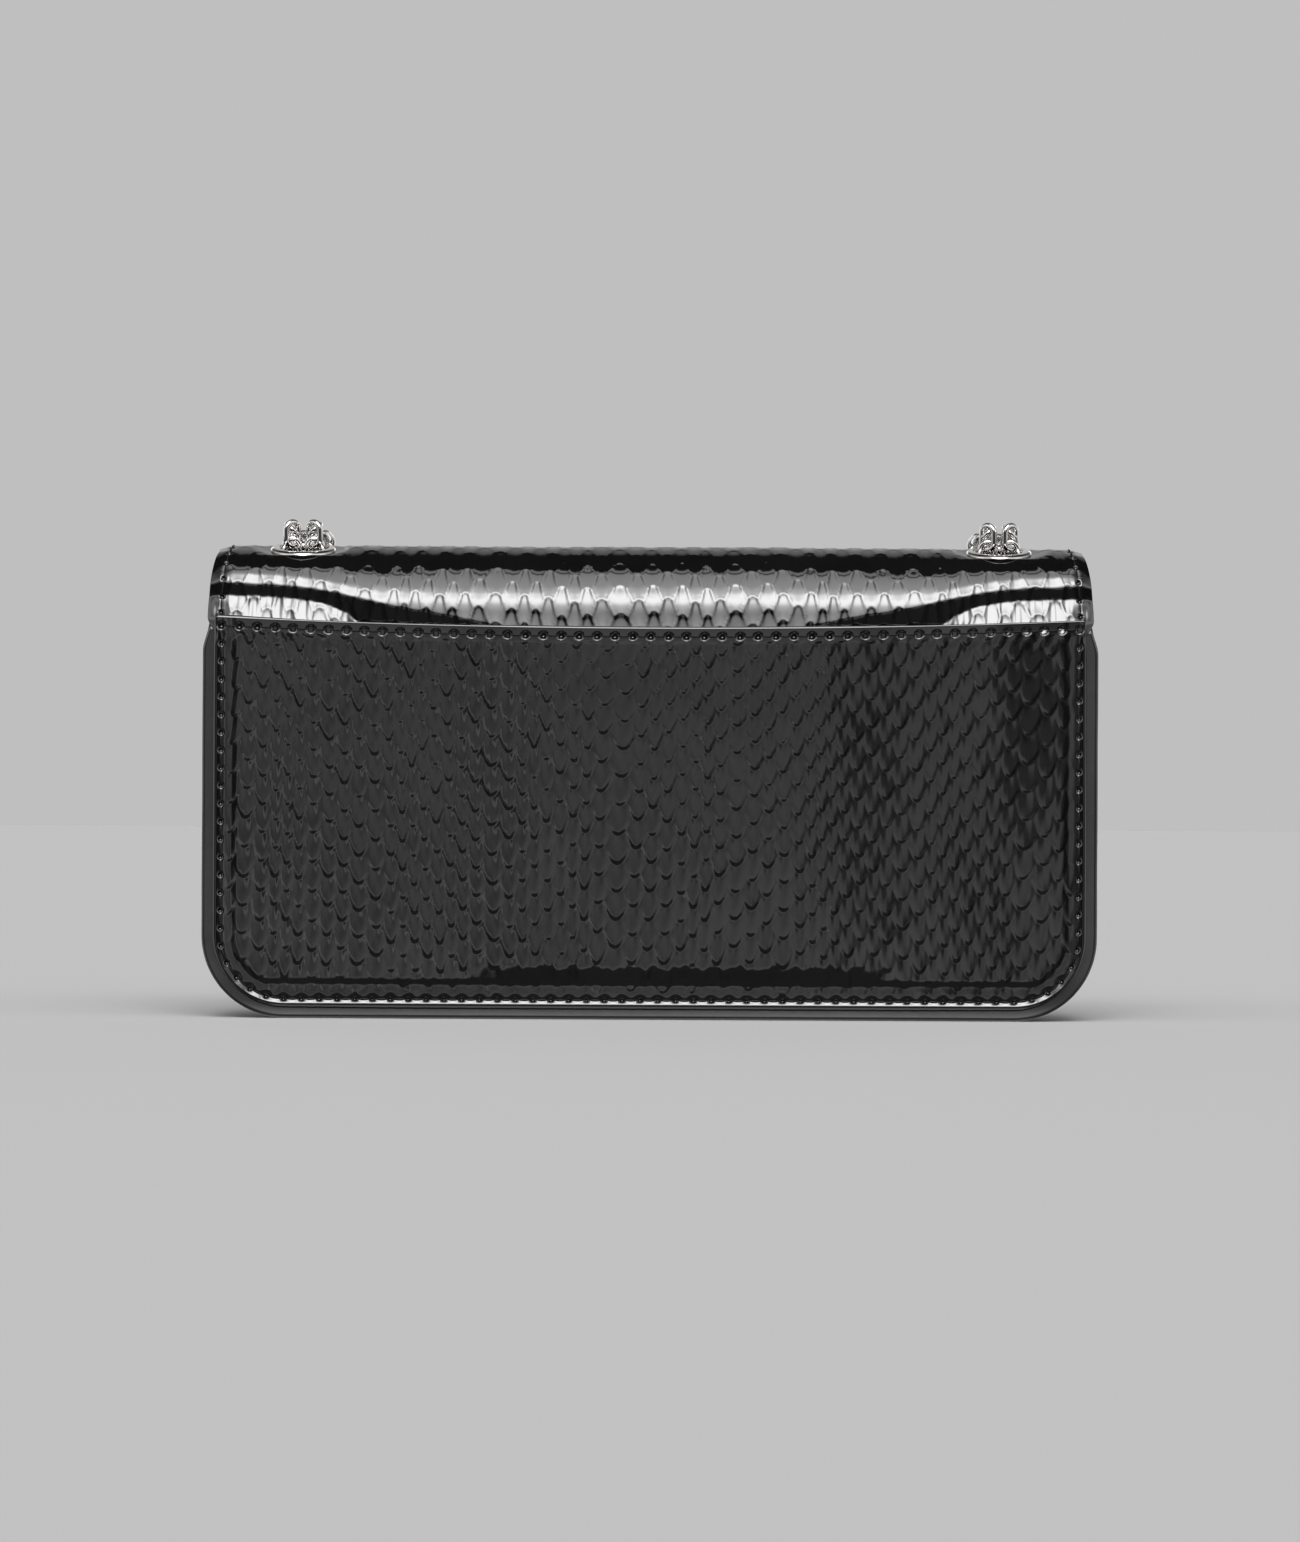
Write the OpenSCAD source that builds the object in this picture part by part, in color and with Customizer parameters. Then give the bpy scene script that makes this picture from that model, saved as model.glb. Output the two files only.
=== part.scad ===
// Small shoulder bag with a rolled flap, a back slip pocket and a doubled chain strap.
// Millimetres. X runs across the bag, +Y points to its back, +Z is up.
// The origin lies on the flat base, under the middle of the body.

/* [Body] */
// Width over the gusset
bag_w = 220; // [190:1:250]
// Height to the crest of the closed flap
bag_h = 116.5; // [112:0.5:130]
// Depth of the body, front panel to back panel
body_d = 31; // [28:0.5:40]
// Outer radius of the gusset's bottom corners
corner_r = 20.5; // [16:0.5:26]
// How far the panels stop short of the gusset's outline
panel_inset = 3; // [2:0.25:4]
// Thickness of the panel and gusset leather
leather_t = 1.4; // [1:0.1:1.8]
// Thickness of the stiffening boards in the panels
board_t = 0.8; // [0.5:0.1:1]
// Thickness of the lining cloth
lining_t = 0.6; // [0.4:0.1:0.8]
// Height of the back panel's top edge
back_h = 101.1; // [99:0.1:103]
// Height of the front panel's top edge
front_h = 95; // [85:0.5:97]

/* [Gusset] */
// Radius that the gusset turns through, from its band into its flanges
gusset_r = 3; // [2.5:0.25:4]
// Width of the flange that is sewn behind each panel
flange_w = 6; // [4:0.5:8]
// Radius of the tongue on top of each gusset side
tongue_r = 9; // [6:0.5:9]
// Height of the tongue's centre
tongue_z = 101; // [96:0.5:102]

/* [Boards] */
// Width of the board in the base
base_board_w = 176; // [120:1:178]
// Depth of the board in the base
base_board_d = 18; // [12:0.5:22]
// Gap around each stiffening board, to the flanges
board_gap = 0.2; // [0.1:0.1:1]

/* [Back pocket] */
// Height of the pocket's edge at the sides
pocket_h = 99; // [92:0.5:100]
// How far the pocket's edge dips in the middle
pocket_dip = 2.2; // [0.5:0.1:6]
// Thickness of the pocket's leather
pocket_t = 1.5; // [1:0.1:2]
// Slack between the pocket and the back panel
pocket_slack = 0.5; // [0.3:0.1:1]
// Width of the sewn margin round the pocket
pocket_margin = 8; // [5:0.5:12]

/* [Inner pocket] */
// Width of the slip pocket on the back lining
inner_pocket_w = 150; // [90:1:180]
// Height of the slip pocket
inner_pocket_h = 62; // [40:1:75]
// Height of the slip pocket's lower edge above the ground
inner_pocket_z = 22; // [15:1:26]
// Width of its sewn margin
inner_margin = 4; // [3:0.5:6]
// Slack between the slip pocket and the lining
inner_slack = 0.5; // [0.3:0.1:1]

/* [Flap] */
// Height of the flap's lower edge
flap_bottom = 14; // [8:0.5:30]
// Radius of the flap's lower corners
flap_corner_r = 26; // [10:0.5:34]
// Thickness of the flap's leather
flap_leather_t = 1.3; // [1:0.1:1.6]
// Thickness of the flap's interlining board
flap_board_t = 0.5; // [0.4:0.1:0.8]
// Thickness of the flap's lining
flap_lining_t = 0.7; // [0.5:0.1:0.9]
// Space between the closed flap and the front panel
flap_gap = 3.2; // [3.2:0.1:4]
// Height of the fold line that the flap turns about, over the back panel
hinge_rise = 0.4; // [0.3:0.1:0.8]

/* [Snap] */
// Height of the magnetic snap's centre
snap_z = 34; // [30:0.5:60]
// Outer radius of both halves
snap_r = 7; // [5:0.25:9]
// Thickness of the stud's plate
stud_plate_t = 0.6; // [0.5:0.1:0.8]
// Radius of the stud's post
stud_r = 2; // [1.5:0.1:2.5]
// Length of the stud's post
stud_l = 1.4; // [1:0.1:1.5]
// Gap between the closed halves
snap_play = 0.2; // [0.15:0.05:0.4]
// Side clearance round the post, which swings in on an arc
stud_play = 1.3; // [1.2:0.1:1.8]
// Radius of the rivet shank behind each half
shank_r = 1.5; // [1:0.1:2]
// Clearance of a shank in its hole
shank_play = 0.1; // [0.05:0.05:0.2]
// Thickness of the socket's backing washer
backing_t = 0.4; // [0.3:0.1:0.4]
// Floor left under the socket's hole
socket_floor = 0.7; // [0.5:0.1:0.9]

/* [Eyelets] */
// Distance from the bag's side to the middle of an eyelet
eyelet_inset = 24; // [22:1:32]
// Lean of the eyelets towards the back, in degrees
eyelet_tilt = 12; // [10:1:16]
// Outer radius of the eyelet's flange
eyelet_r = 8.1; // [8:0.1:9]
// Radius of the hole
eyelet_hole_r = 5.5; // [5.5:0.1:5.8]
// Wall of the eyelet's barrel
barrel_t = 0.5; // [0.4:0.1:0.6]
// Height of the flange's domed rim
dome_h = 0.9; // [0.6:0.1:1]
// Thickness of the washer inside the flap
washer_t = 0.8; // [0.5:0.1:1]
// Clearance round the barrel
barrel_play = 0.1; // [0.05:0.05:0.2]
// How deep the flat seat of an eyelet lies in the crown of the roll
seat_drop = 0.9; // [0.7:0.1:1]
// Leather left round the flange on the seat
seat_rim = 0.8; // [0.5:0.1:1.5]

/* [Chain] */
// Diameter of the chain's wire
wire_d = 1.5; // [1.3:0.05:1.5]
// Outer width of a link
link_w = 5.1; // [5:0.05:5.2]
// Outer length of a link
link_l = 7.4; // [7.2:0.1:7.6]
// Play between two links along the chain
link_play = 0.3; // [0.25:0.05:0.35]
// Side gap between the two strands in an eyelet
strand_gap = 0.4; // [0.3:0.1:0.5]
// Links in the inner run, an odd number
inner_links = 69; // [67:2:71]
// Links in the outer run, an odd number
outer_links = 75; // [73:2:77]
// Height of the top link's centre over the eyelet's seat
top_link_rise = 4.1; // [4:0.1:4.4]
// Radius of the bend that the strap takes over the front of the roll
strap_bend_r = 21; // [20:0.5:22]
// Gap between the hanging strap and the flap
strap_gap = 0.35; // [0.3:0.05:0.6]
// Radius of the sideways turn near each eyelet
strap_turn_r = 24; // [20:1:30]
// Straight length of strap in front of each eyelet
strap_straight = 5; // [4.5:0.1:6]
// Radius of the stop bar that holds the chain's ends inside the flap
stop_bar_r = 0.9; // [0.7:0.05:0.95]
// Length of the stop bar between its knobs
stop_bar_l = 16; // [13:0.5:20]
// Radius of the stop bar's knobs
stop_knob_r = 1.5; // [1.2:0.1:1.7]
// Length of each knob's rim
stop_knob_l = 0.8; // [0.4:0.1:1.2]
// Length of each knob's slope, on either side of its rim
stop_slope_l = 0.7; // [0.4:0.1:1]

/* [Hidden] */

$fn = 48;
// Overrun of every cut past the face it opens
cut = 1;

black = [0.05, 0.05, 0.055];
soft_black = [0.1, 0.1, 0.105];
lining_grey = [0.2, 0.2, 0.21];
board_brown = [0.5, 0.42, 0.32];
nickel = [0.75, 0.74, 0.73];

// Body: faces counted outwards from the middle of the bag
panel_w = bag_w - 2 * panel_inset;
panel_r = corner_r - panel_inset;
face_y = body_d / 2;
flange_y = face_y - leather_t;
board_inset = panel_inset + flange_w + board_gap;
board_r = corner_r - board_inset;
lining_y = flange_y - leather_t;
// The side lining lies where the gusset's rounded edge meets its flange
side_lining = gusset_r;
lining_gap = side_lining - leather_t;
lining_inset = side_lining + lining_t;
body_top = front_h;

// Flap: a half roll over the mouth, then a flat front
flap_t = flap_leather_t + flap_board_t + flap_lining_t;
flap_w = panel_w;
roll_r = (body_d + flap_gap + flap_t) / 2;
roll_y = face_y - roll_r;
roll_z = bag_h - roll_r;
hinge_z = back_h + hinge_rise;

// Chain: the link's centreline is two half rings joined by straight sides
ring_r = (link_w - wire_d) / 2;
side_l = link_l - link_w;
link_reach = side_l / 2 + ring_r;
pitch = 2 * link_reach - wire_d - link_play;
strand_x = (link_w + strand_gap) / 2;
// Half the thickness of a chain whose links lean 45 degrees either way
lean = 45;
chain_half_t = ring_r * sin(lean) + wire_d / 2;

// Eyelet seats: height of the flat seat above the roll's axis
seat_h = roll_r - seat_drop;
seat_r = eyelet_r + seat_rim;
bore_r = eyelet_hole_r + barrel_t + barrel_play;
eyelet_x = bag_w / 2 - eyelet_inset;

// The strap turns about the upper ring of the top links
pivot_h = seat_h + top_link_rise + side_l / 2;
pivot_y = roll_y + pivot_h * sin(eyelet_tilt);
pivot_z = roll_z + pivot_h * cos(eyelet_tilt);
strap_y = roll_y - roll_r - strap_gap - chain_half_t;
bend_y = strap_y + strap_bend_r;
bend_z = pivot_z - strap_bend_r;
top_run = pivot_y - bend_y;
over_run = top_run + strap_bend_r * PI / 2;

function sinh(u) = (exp(u) - exp(-u)) / 2;
function cosh(u) = (exp(u) + exp(-u)) / 2;
function asinh(v) = ln(v + sqrt(v * v + 1));
function unit(v) = v / norm(v);
function rad(deg) = deg * PI / 180;
function deg(r) = r * 180 / PI;

// A run of the strap, laid out flat: straight over the eyelet's rim, a turn inwards,
// straight over the bend, then a catenary. u is the catenary's half span over its size.
function splay(u) = atan(1 / sinh(u));
function slant_l(u) = over_run - strap_straight - strap_turn_r * sin(splay(u));
function hang_x(u, end_x) =
    end_x - strap_turn_r * (1 - cos(splay(u))) - slant_l(u) * tan(splay(u));
function hang_size(u, end_x) = hang_x(u, end_x) / u;
function half_length(u, end_x) =
    strap_straight + strap_turn_r * rad(splay(u)) + slant_l(u) / cos(splay(u))
    + hang_size(u, end_x) * sinh(u);
// The u at which half a run is as long as its links
function solve(end_x, want, low = 0.8, high = 3, steps = 40) =
    steps == 0 ? (low + high) / 2
    : half_length((low + high) / 2, end_x) > want
        ? solve(end_x, want, low, (low + high) / 2, steps - 1)
        : solve(end_x, want, (low + high) / 2, high, steps - 1);

// Point over the roll at distance q from the pivot, measured square to the roll's axis
function over_point(x, q) =
    q < top_run ? [x, pivot_y - q, pivot_z]
    : let (a = deg((q - top_run) / strap_bend_r))
        [x, bend_y - strap_bend_r * sin(a), bend_z + strap_bend_r * cos(a)];

// Point of a run at arc length g from its pivot, on the right half
function run_point(g, u, end_x, half) =
    let (
        psi = splay(u),
        turn_end = strap_straight + strap_turn_r * rad(psi),
        size = hang_size(u, end_x),
        from_low = half - g,
        hang_l = size * sinh(u)
    )
    from_low <= hang_l
        ? [size * asinh(from_low / size), strap_y,
           bend_z - size * cosh(u) + sqrt(size * size + from_low * from_low)]
        : g <= strap_straight ? over_point(end_x, g)
        : g <= turn_end
            ? let (a = deg((g - strap_straight) / strap_turn_r))
                over_point(end_x - strap_turn_r * (1 - cos(a)), strap_straight + strap_turn_r * sin(a))
            : over_point(
                end_x - strap_turn_r * (1 - cos(psi)) - (g - turn_end) * sin(psi),
                strap_straight + strap_turn_r * sin(psi) + (g - turn_end) * cos(psi)
            );

// Joints of a run from the left pivot to the right one
function run_joints(links, end_x) =
    let (
        first = link_reach - pitch / 2,
        half = first + links * pitch / 2,
        u = solve(end_x, half)
    )
    [for (i = [0:links])
        let (g = first + min(i, links - i) * pitch, p = run_point(g, u, end_x, half))
        [i < links / 2 ? -p.x : p.x, p.y, p.z]];

// Away from the flap: straight out over the roll, forwards in front of it
function off_flap(p) = unit([0, p.y - roll_y, max(0, p.z - roll_z)]);
// Lean of a link: flat at an eyelet, then easing over the first few links
function link_lean(i, links) = min(lean, 15 * max(0, min(i, links - 1 - i) - 1)) + 90 * (i % 2);

// Flat outline with its lower corners rounded, standing on y = 0
module round_bottom(w, h, r) {
    translate([-w / 2, r]) square([w, h - r]);
    translate([r - w / 2, 0]) square([w - 2 * r, r]);
    for (side = [-1, 1])
        translate([side * (w / 2 - r), r]) circle(r);
}

// A sheet in the XZ plane with its back face at y
module sheet_at(y, t) {
    translate([0, y, 0]) rotate([90, 0, 0]) linear_extrude(t) children();
}

// Panel outline, inset from the gusset's outline and cut off at a height
module panel_outline(inset, top) {
    translate([0, inset]) round_bottom(bag_w - 2 * inset, top - inset, corner_r - inset);
}

// Sweeps a section round the U of the gusset. In the section, x is 0 at the
// outline and negative inwards, and y is the depth.
module sweep_u(top) {
    rotate([90, 0, 0]) {
        for (side = [0, 1])
            mirror([side, 0, 0]) {
                translate([bag_w / 2, corner_r, 0])
                    rotate([-90, 0, 0]) linear_extrude(top - corner_r) children();
                translate([bag_w / 2 - corner_r, corner_r, 0])
                    rotate([0, 0, -90])
                        rotate_extrude(angle = 90) translate([corner_r, 0]) children();
            }
        translate([corner_r - bag_w / 2, 0, 0])
            rotate([90, 0, 90])
                linear_extrude(bag_w - 2 * corner_r) mirror([1, 0]) children();
    }
}

// Channel section of the gusset: a band with a flange at each edge
module channel_section() {
    half = flange_y;
    deep = panel_inset + flange_w;
    difference() {
        union() {
            translate([-deep, -half]) square([deep - gusset_r, 2 * half]);
            translate([-gusset_r, gusset_r - half]) square([gusset_r, 2 * (half - gusset_r)]);
            for (side = [-1, 1])
                translate([-gusset_r, side * (half - gusset_r)]) circle(gusset_r);
        }
        translate([-deep - cut, leather_t - half])
            square([deep + cut - gusset_r, 2 * (half - leather_t)]);
        translate([-gusset_r - cut, gusset_r - half])
            square([gusset_r + cut - leather_t, 2 * (half - gusset_r)]);
        for (side = [-1, 1])
            translate([-gusset_r, side * (half - gusset_r)]) circle(gusset_r - leather_t);
    }
}

module gusset() {
    color(soft_black) {
        sweep_u(body_top) channel_section();
        for (side = [-1, 1])
            translate([side * (bag_w / 2 - leather_t / 2), 0, tongue_z])
                rotate([0, 90, 0]) cylinder(r = tongue_r, h = leather_t, center = true);
        for (side = [-1, 1])
            translate([
                side * (bag_w / 2 - leather_t / 2) - leather_t / 2,
                -tongue_r,
                body_top - tongue_r
            ])
                cube([leather_t, 2 * tongue_r, tongue_z - body_top + tongue_r]);
    }
}

module back_panel() {
    color(black) sheet_at(face_y, leather_t) panel_outline(panel_inset, back_h);
}

// The socket's rivet passes through the front panel and its board
module snap_hole_2d() {
    translate([0, snap_z]) circle(shank_r + shank_play);
}

module front_panel() {
    color(black)
        sheet_at(leather_t - face_y, leather_t)
            difference() {
                panel_outline(panel_inset, front_h);
                snap_hole_2d();
            }
}

module back_board() {
    color(board_brown)
        sheet_at(flange_y, board_t) panel_outline(board_inset, front_h);
}

module front_board() {
    color(board_brown)
        sheet_at(board_t - flange_y, board_t)
            difference() {
                panel_outline(board_inset, front_h);
                snap_hole_2d();
            }
}

module base_board() {
    color(board_brown)
        translate([-base_board_w / 2, -base_board_d / 2, leather_t])
            cube([base_board_w, base_board_d, lining_gap]);
}

module lining_back() {
    color(lining_grey) sheet_at(lining_y, lining_t) panel_outline(side_lining, back_h);
}

module lining_front() {
    color(lining_grey) sheet_at(lining_t - lining_y, lining_t) panel_outline(side_lining, front_h);
}

module lining_gusset() {
    half = lining_y - lining_t;
    color(lining_grey)
        sweep_u(body_top)
            translate([-lining_inset, -half]) square([lining_t, 2 * half]);
}

// Slip pocket on the back lining: a sheet whose margin is sewn down
module inner_pocket() {
    back = lining_y - lining_t;
    color(lining_grey)
        translate([-inner_pocket_w / 2, back, inner_pocket_z])
            difference() {
                translate([0, -inner_slack - lining_t, 0])
                    cube([inner_pocket_w, inner_slack + lining_t, inner_pocket_h]);
                translate([inner_margin, -inner_slack, inner_margin])
                    cube([inner_pocket_w - 2 * inner_margin, inner_slack + cut, inner_pocket_h]);
            }
}

// Outer leather of the back slip pocket, with a dipping edge
module pocket_panel() {
    edge_r = (panel_w * panel_w / 4 + pocket_dip * pocket_dip) / (2 * pocket_dip);
    full_t = pocket_slack + pocket_t;
    color(black)
        difference() {
            sheet_at(face_y + full_t, full_t)
                difference() {
                    panel_outline(panel_inset, pocket_h);
                    translate([0, pocket_h - pocket_dip + edge_r]) circle(edge_r, $fn = 200);
                }
            sheet_at(face_y + pocket_slack, pocket_slack + cut)
                panel_outline(panel_inset + pocket_margin, pocket_h + cut);
        }
}

// Section of one flap layer: half a ring over the mouth, and down the front
module flap_section(outer, t) {
    difference() {
        circle(outer);
        circle(outer - t);
        translate([-outer - cut, -outer - cut]) square([2 * (outer + cut), outer + cut]);
    }
}

// A flap layer from the fold line to the lower edge, cut away round the
// eyelets. depth is how far under the flap's outer face it starts.
module flap_layer(depth, t) {
    outer = roll_r - depth;
    difference() {
        translate([-flap_w / 2, roll_y, roll_z])
            rotate([90, 0, 90]) linear_extrude(flap_w) flap_section(outer, t);
        translate([-flap_w / 2 - cut, roll_y, roll_z - cut])
            cube([flap_w + 2 * cut, roll_r + cut, hinge_z - roll_z + cut]);
        each_seat() cylinder(r = seat_r, h = 2 * roll_r);
    }
    sheet_at(roll_y - outer + t, t)
        translate([0, flap_bottom])
            round_bottom(flap_w, roll_z - flap_bottom, flap_corner_r);
}

// Children in the frame of each eyelet: z points out along its bore, from the roll's axis
module seat_frame(side) {
    translate([side * eyelet_x, roll_y, roll_z]) rotate([-eyelet_tilt, 0, 0]) children();
}

module each_seat() {
    for (side = [-1, 1])
        seat_frame(side) children();
}

// Leather goes right through the flap at the eyelets, as a flat pad
module flap_leather() {
    color(black) {
        flap_layer(0, flap_leather_t);
        each_seat()
            translate([0, 0, seat_h - flap_t])
                difference() {
                    cylinder(r = seat_r, h = flap_t);
                    translate([0, 0, -cut]) cylinder(r = bore_r, h = flap_t + 2 * cut);
                }
    }
}

// The stud's rivet is clinched in the interlining
module stud_hole() {
    translate([0, roll_y - roll_r, snap_z])
        rotate([-90, 0, 0]) cylinder(r = shank_r + shank_play, h = flap_t + cut);
}

module flap_board() {
    color(board_brown)
        difference() {
            flap_layer(flap_leather_t, flap_board_t);
            stud_hole();
        }
}

module flap_lining() {
    color(soft_black)
        difference() {
            flap_layer(flap_leather_t + flap_board_t, flap_lining_t);
            stud_hole();
        }
}

// Turned parts of the snap: z points forwards from a face at y
module snap_frame(y) {
    translate([0, y, snap_z]) rotate([90, 0, 0]) children();
}

socket_h = flap_gap - stud_plate_t - snap_play;

module snap_socket() {
    color(nickel)
        difference() {
            union() {
                snap_frame(-face_y) cylinder(r = snap_r, h = socket_h);
                snap_frame(-face_y + leather_t + board_t + backing_t)
                    cylinder(r = shank_r, h = leather_t + board_t + backing_t);
            }
            snap_frame(-face_y - socket_floor)
                cylinder(r = stud_r + stud_play, h = socket_h);
        }
}

module snap_backing() {
    color(nickel)
        snap_frame(-flange_y + board_t + backing_t)
            difference() {
                cylinder(r = snap_r - leather_t, h = backing_t);
                translate([0, 0, -cut])
                    cylinder(r = shank_r + shank_play / 2, h = backing_t + 2 * cut);
            }
}

module snap_stud() {
    plate_back = -face_y - flap_gap;
    color(nickel) {
        snap_frame(plate_back + stud_plate_t) cylinder(r = snap_r, h = stud_plate_t);
        snap_frame(plate_back + stud_plate_t + stud_l) cylinder(r = stud_r, h = stud_l);
        snap_frame(plate_back) cylinder(r = shank_r, h = flap_lining_t + flap_board_t);
    }
}

// Barrel and domed rim in one piece
module eyelet(side) {
    rim_w = eyelet_r - eyelet_hole_r;
    dome_r = (rim_w * rim_w / 4 + dome_h * dome_h) / (2 * dome_h);
    color(nickel)
        seat_frame(side)
            translate([0, 0, seat_h])
                rotate_extrude() {
                    translate([eyelet_hole_r, -flap_t - washer_t])
                        square([barrel_t, flap_t + washer_t]);
                    intersection() {
                        translate([eyelet_hole_r + rim_w / 2, dome_h - dome_r]) circle(dome_r);
                        translate([eyelet_hole_r, 0]) square([rim_w, dome_h]);
                    }
                }
}

module eyelet_washer(side) {
    color(nickel)
        seat_frame(side)
            translate([0, 0, seat_h - flap_t - washer_t])
                difference() {
                    cylinder(r = eyelet_r, h = washer_t);
                    translate([0, 0, -cut])
                        cylinder(r = eyelet_hole_r + barrel_t + barrel_play / 2, h = washer_t + 2 * cut);
                }
}

// One link lying in the XY plane, long along X
module chain_link() {
    for (end = [0, 180])
        rotate([0, 0, end])
            translate([side_l / 2, 0, 0])
                rotate([0, 0, -90])
                    rotate_extrude(angle = 180) translate([ring_r, 0]) circle(wire_d / 2, $fn = 24);
    for (edge = [-1, 1])
        translate([-side_l / 2, edge * ring_r, 0])
            rotate([0, 90, 0]) cylinder(d = wire_d, h = side_l, $fn = 24);
}

// A link with its length along t and its face along n
module placed_link(centre, t, n) {
    b = cross(n, t);
    multmatrix([
        [t.x, b.x, n.x, centre.x],
        [t.y, b.y, n.y, centre.y],
        [t.z, b.z, n.z, centre.z],
        [0, 0, 0, 1]
    ])
        chain_link();
}

// Three links of each strand: above the eyelet, in its bore and under it
module chain_lead(side) {
    color(nickel)
        seat_frame(side)
            for (strand = [-1, 1], k = [0:2])
                placed_link(
                    [strand * strand_x, 0, seat_h + top_link_rise - k * pitch],
                    [0, 0, 1],
                    k % 2 == 0 ? [1, 0, 0] : [0, 1, 0]
                );
}

// Bar through the last link of both strands, too long to pass the eyelet
module stop_bar(side) {
    last_link = seat_h + top_link_rise - 2 * pitch;
    bar_h = last_link - link_reach + wire_d / 2 + stop_bar_r + link_play / 2;
    color(nickel)
        seat_frame(side)
            translate([0, 0, bar_h]) {
                rotate([0, 90, 0]) cylinder(r = stop_bar_r, h = stop_bar_l, center = true);
                for (end = [-1, 1])
                    translate([end * stop_bar_l / 2, 0, 0]) rotate([0, 90, 0]) stop_knob();
            }
}

module stop_knob() {
    cylinder(r = stop_knob_r, h = stop_knob_l, center = true);
    for (end = [0, 1])
        mirror([0, 0, end])
            translate([0, 0, stop_knob_l / 2])
                cylinder(r1 = stop_knob_r, r2 = stop_bar_r, h = stop_slope_l);
}

module strap_run(links, end_x) {
    joints = run_joints(links, end_x);
    color(nickel)
        for (i = [0:links - 1])
            let (
                centre = (joints[i] + joints[i + 1]) / 2,
                t = unit(joints[i + 1] - joints[i]),
                b = unit(cross(off_flap(centre), t)),
                face = cross(t, b),
                turn = link_lean(i, links)
            )
            placed_link(centre, t, cos(turn) * face + sin(turn) * b);
}

back_panel();
pocket_panel();
front_panel();
gusset();
back_board();
front_board();
base_board();
lining_back();
lining_front();
lining_gusset();
inner_pocket();
snap_socket();
snap_backing();
flap_leather();
flap_board();
flap_lining();
snap_stud();
eyelet(-1);  // eyelet_left
eyelet(1);  // eyelet_right
eyelet_washer(-1);  // eyelet_washer_left
eyelet_washer(1);  // eyelet_washer_right
chain_lead(-1);  // chain_lead_left
chain_lead(1);  // chain_lead_right
stop_bar(-1);  // stop_bar_left
stop_bar(1);  // stop_bar_right
strap_run(inner_links, eyelet_x - strand_x);  // strap_inner_run
strap_run(outer_links, eyelet_x + strand_x);  // strap_outer_run
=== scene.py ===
"""Looks of the small shoulder bag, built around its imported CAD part.

Lengths are in millimetres until a mesh is made. Sheets of leather are laid out flat first:
x runs across the bag and s runs down the sheet, towards the tips of its scales.
"""

import math

import bpy
import bmesh
import numpy as np
from mathutils import Matrix

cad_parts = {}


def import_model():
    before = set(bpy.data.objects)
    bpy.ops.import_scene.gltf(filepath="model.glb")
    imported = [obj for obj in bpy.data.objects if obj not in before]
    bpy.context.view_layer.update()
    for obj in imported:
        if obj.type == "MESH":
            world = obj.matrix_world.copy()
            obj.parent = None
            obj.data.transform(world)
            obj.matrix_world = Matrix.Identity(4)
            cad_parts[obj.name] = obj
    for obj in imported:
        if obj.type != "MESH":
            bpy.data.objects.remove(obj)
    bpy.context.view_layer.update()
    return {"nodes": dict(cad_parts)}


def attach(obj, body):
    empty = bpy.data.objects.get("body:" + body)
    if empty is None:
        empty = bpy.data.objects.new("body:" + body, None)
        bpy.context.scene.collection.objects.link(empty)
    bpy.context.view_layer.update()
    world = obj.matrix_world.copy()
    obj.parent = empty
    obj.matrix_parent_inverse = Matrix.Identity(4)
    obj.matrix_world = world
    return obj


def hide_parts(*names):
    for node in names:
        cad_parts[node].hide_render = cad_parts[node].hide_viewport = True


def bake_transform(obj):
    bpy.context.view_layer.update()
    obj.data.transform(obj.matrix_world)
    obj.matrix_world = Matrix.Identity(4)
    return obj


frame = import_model()

MM = 0.001

# Body, from part.scad
BAG_W = 220.0
BAG_H = 116.5
FACE_Y = 15.5
CORNER_R = 20.5
PANEL_INSET = 3.0
LEATHER_T = 1.4
LINING_T = 0.6
BACK_H = 101.1
FRONT_H = 95.0
POCKET_H = 99.0
POCKET_DIP = 2.4
TONGUE_Z = 101.0
TONGUE_R = 9.0
SNAP_Z = 34.0
PANEL_HALF = BAG_W / 2 - PANEL_INSET
PANEL_R = CORNER_R - PANEL_INSET
FLANGE_Y = FACE_Y - LEATHER_T
LINING_FACE = FLANGE_Y - LEATHER_T - LINING_T
POCKET_L = POCKET_H - PANEL_INSET
FRONT_L = FRONT_H - PANEL_INSET

# Flap, from part.scad
FLAP_LEATHER_T = 1.3
FLAP_T = 2.5
FLAP_LINING_T = 0.7
FLAP_BOTTOM = 14.0
FLAP_CORNER_R = 26.0
ROLL_R = 18.35
ROLL_Y = FACE_Y - ROLL_R
ROLL_Z = BAG_H - ROLL_R

# Eyelets and chain, from part.scad
EYELET_X = 86.0
EYELET_TILT = math.radians(12)
EYELET_R = 8.1
EYELET_HOLE_R = 5.5
SEAT_H = 17.45
SEAT_R = 8.9
WIRE_D = 1.5
RING_R = 1.8
LINK_SIDE = 2.3

STITCH_PITCH = 4.35
THREAD_R = 0.23


# Numbers


def ramp(low, high, value):
    """0 below low, 1 above high, smooth between."""
    t = np.clip((value - low) / (high - low), 0, 1)
    return t * t * (3 - 2 * t)


def bell(value, width):
    return np.exp(-((value / width) ** 2))


def waves(x, y, terms):
    """Smooth irregularity: a sum of plane waves, each (height, x rate, y rate, phase)."""
    return sum(h * np.sin(p * x + q * y + c) for h, p, q, c in terms)


def unit(v):
    return v / np.maximum(np.linalg.norm(v, axis=-1, keepdims=True), 1e-9)


# Meshes


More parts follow.
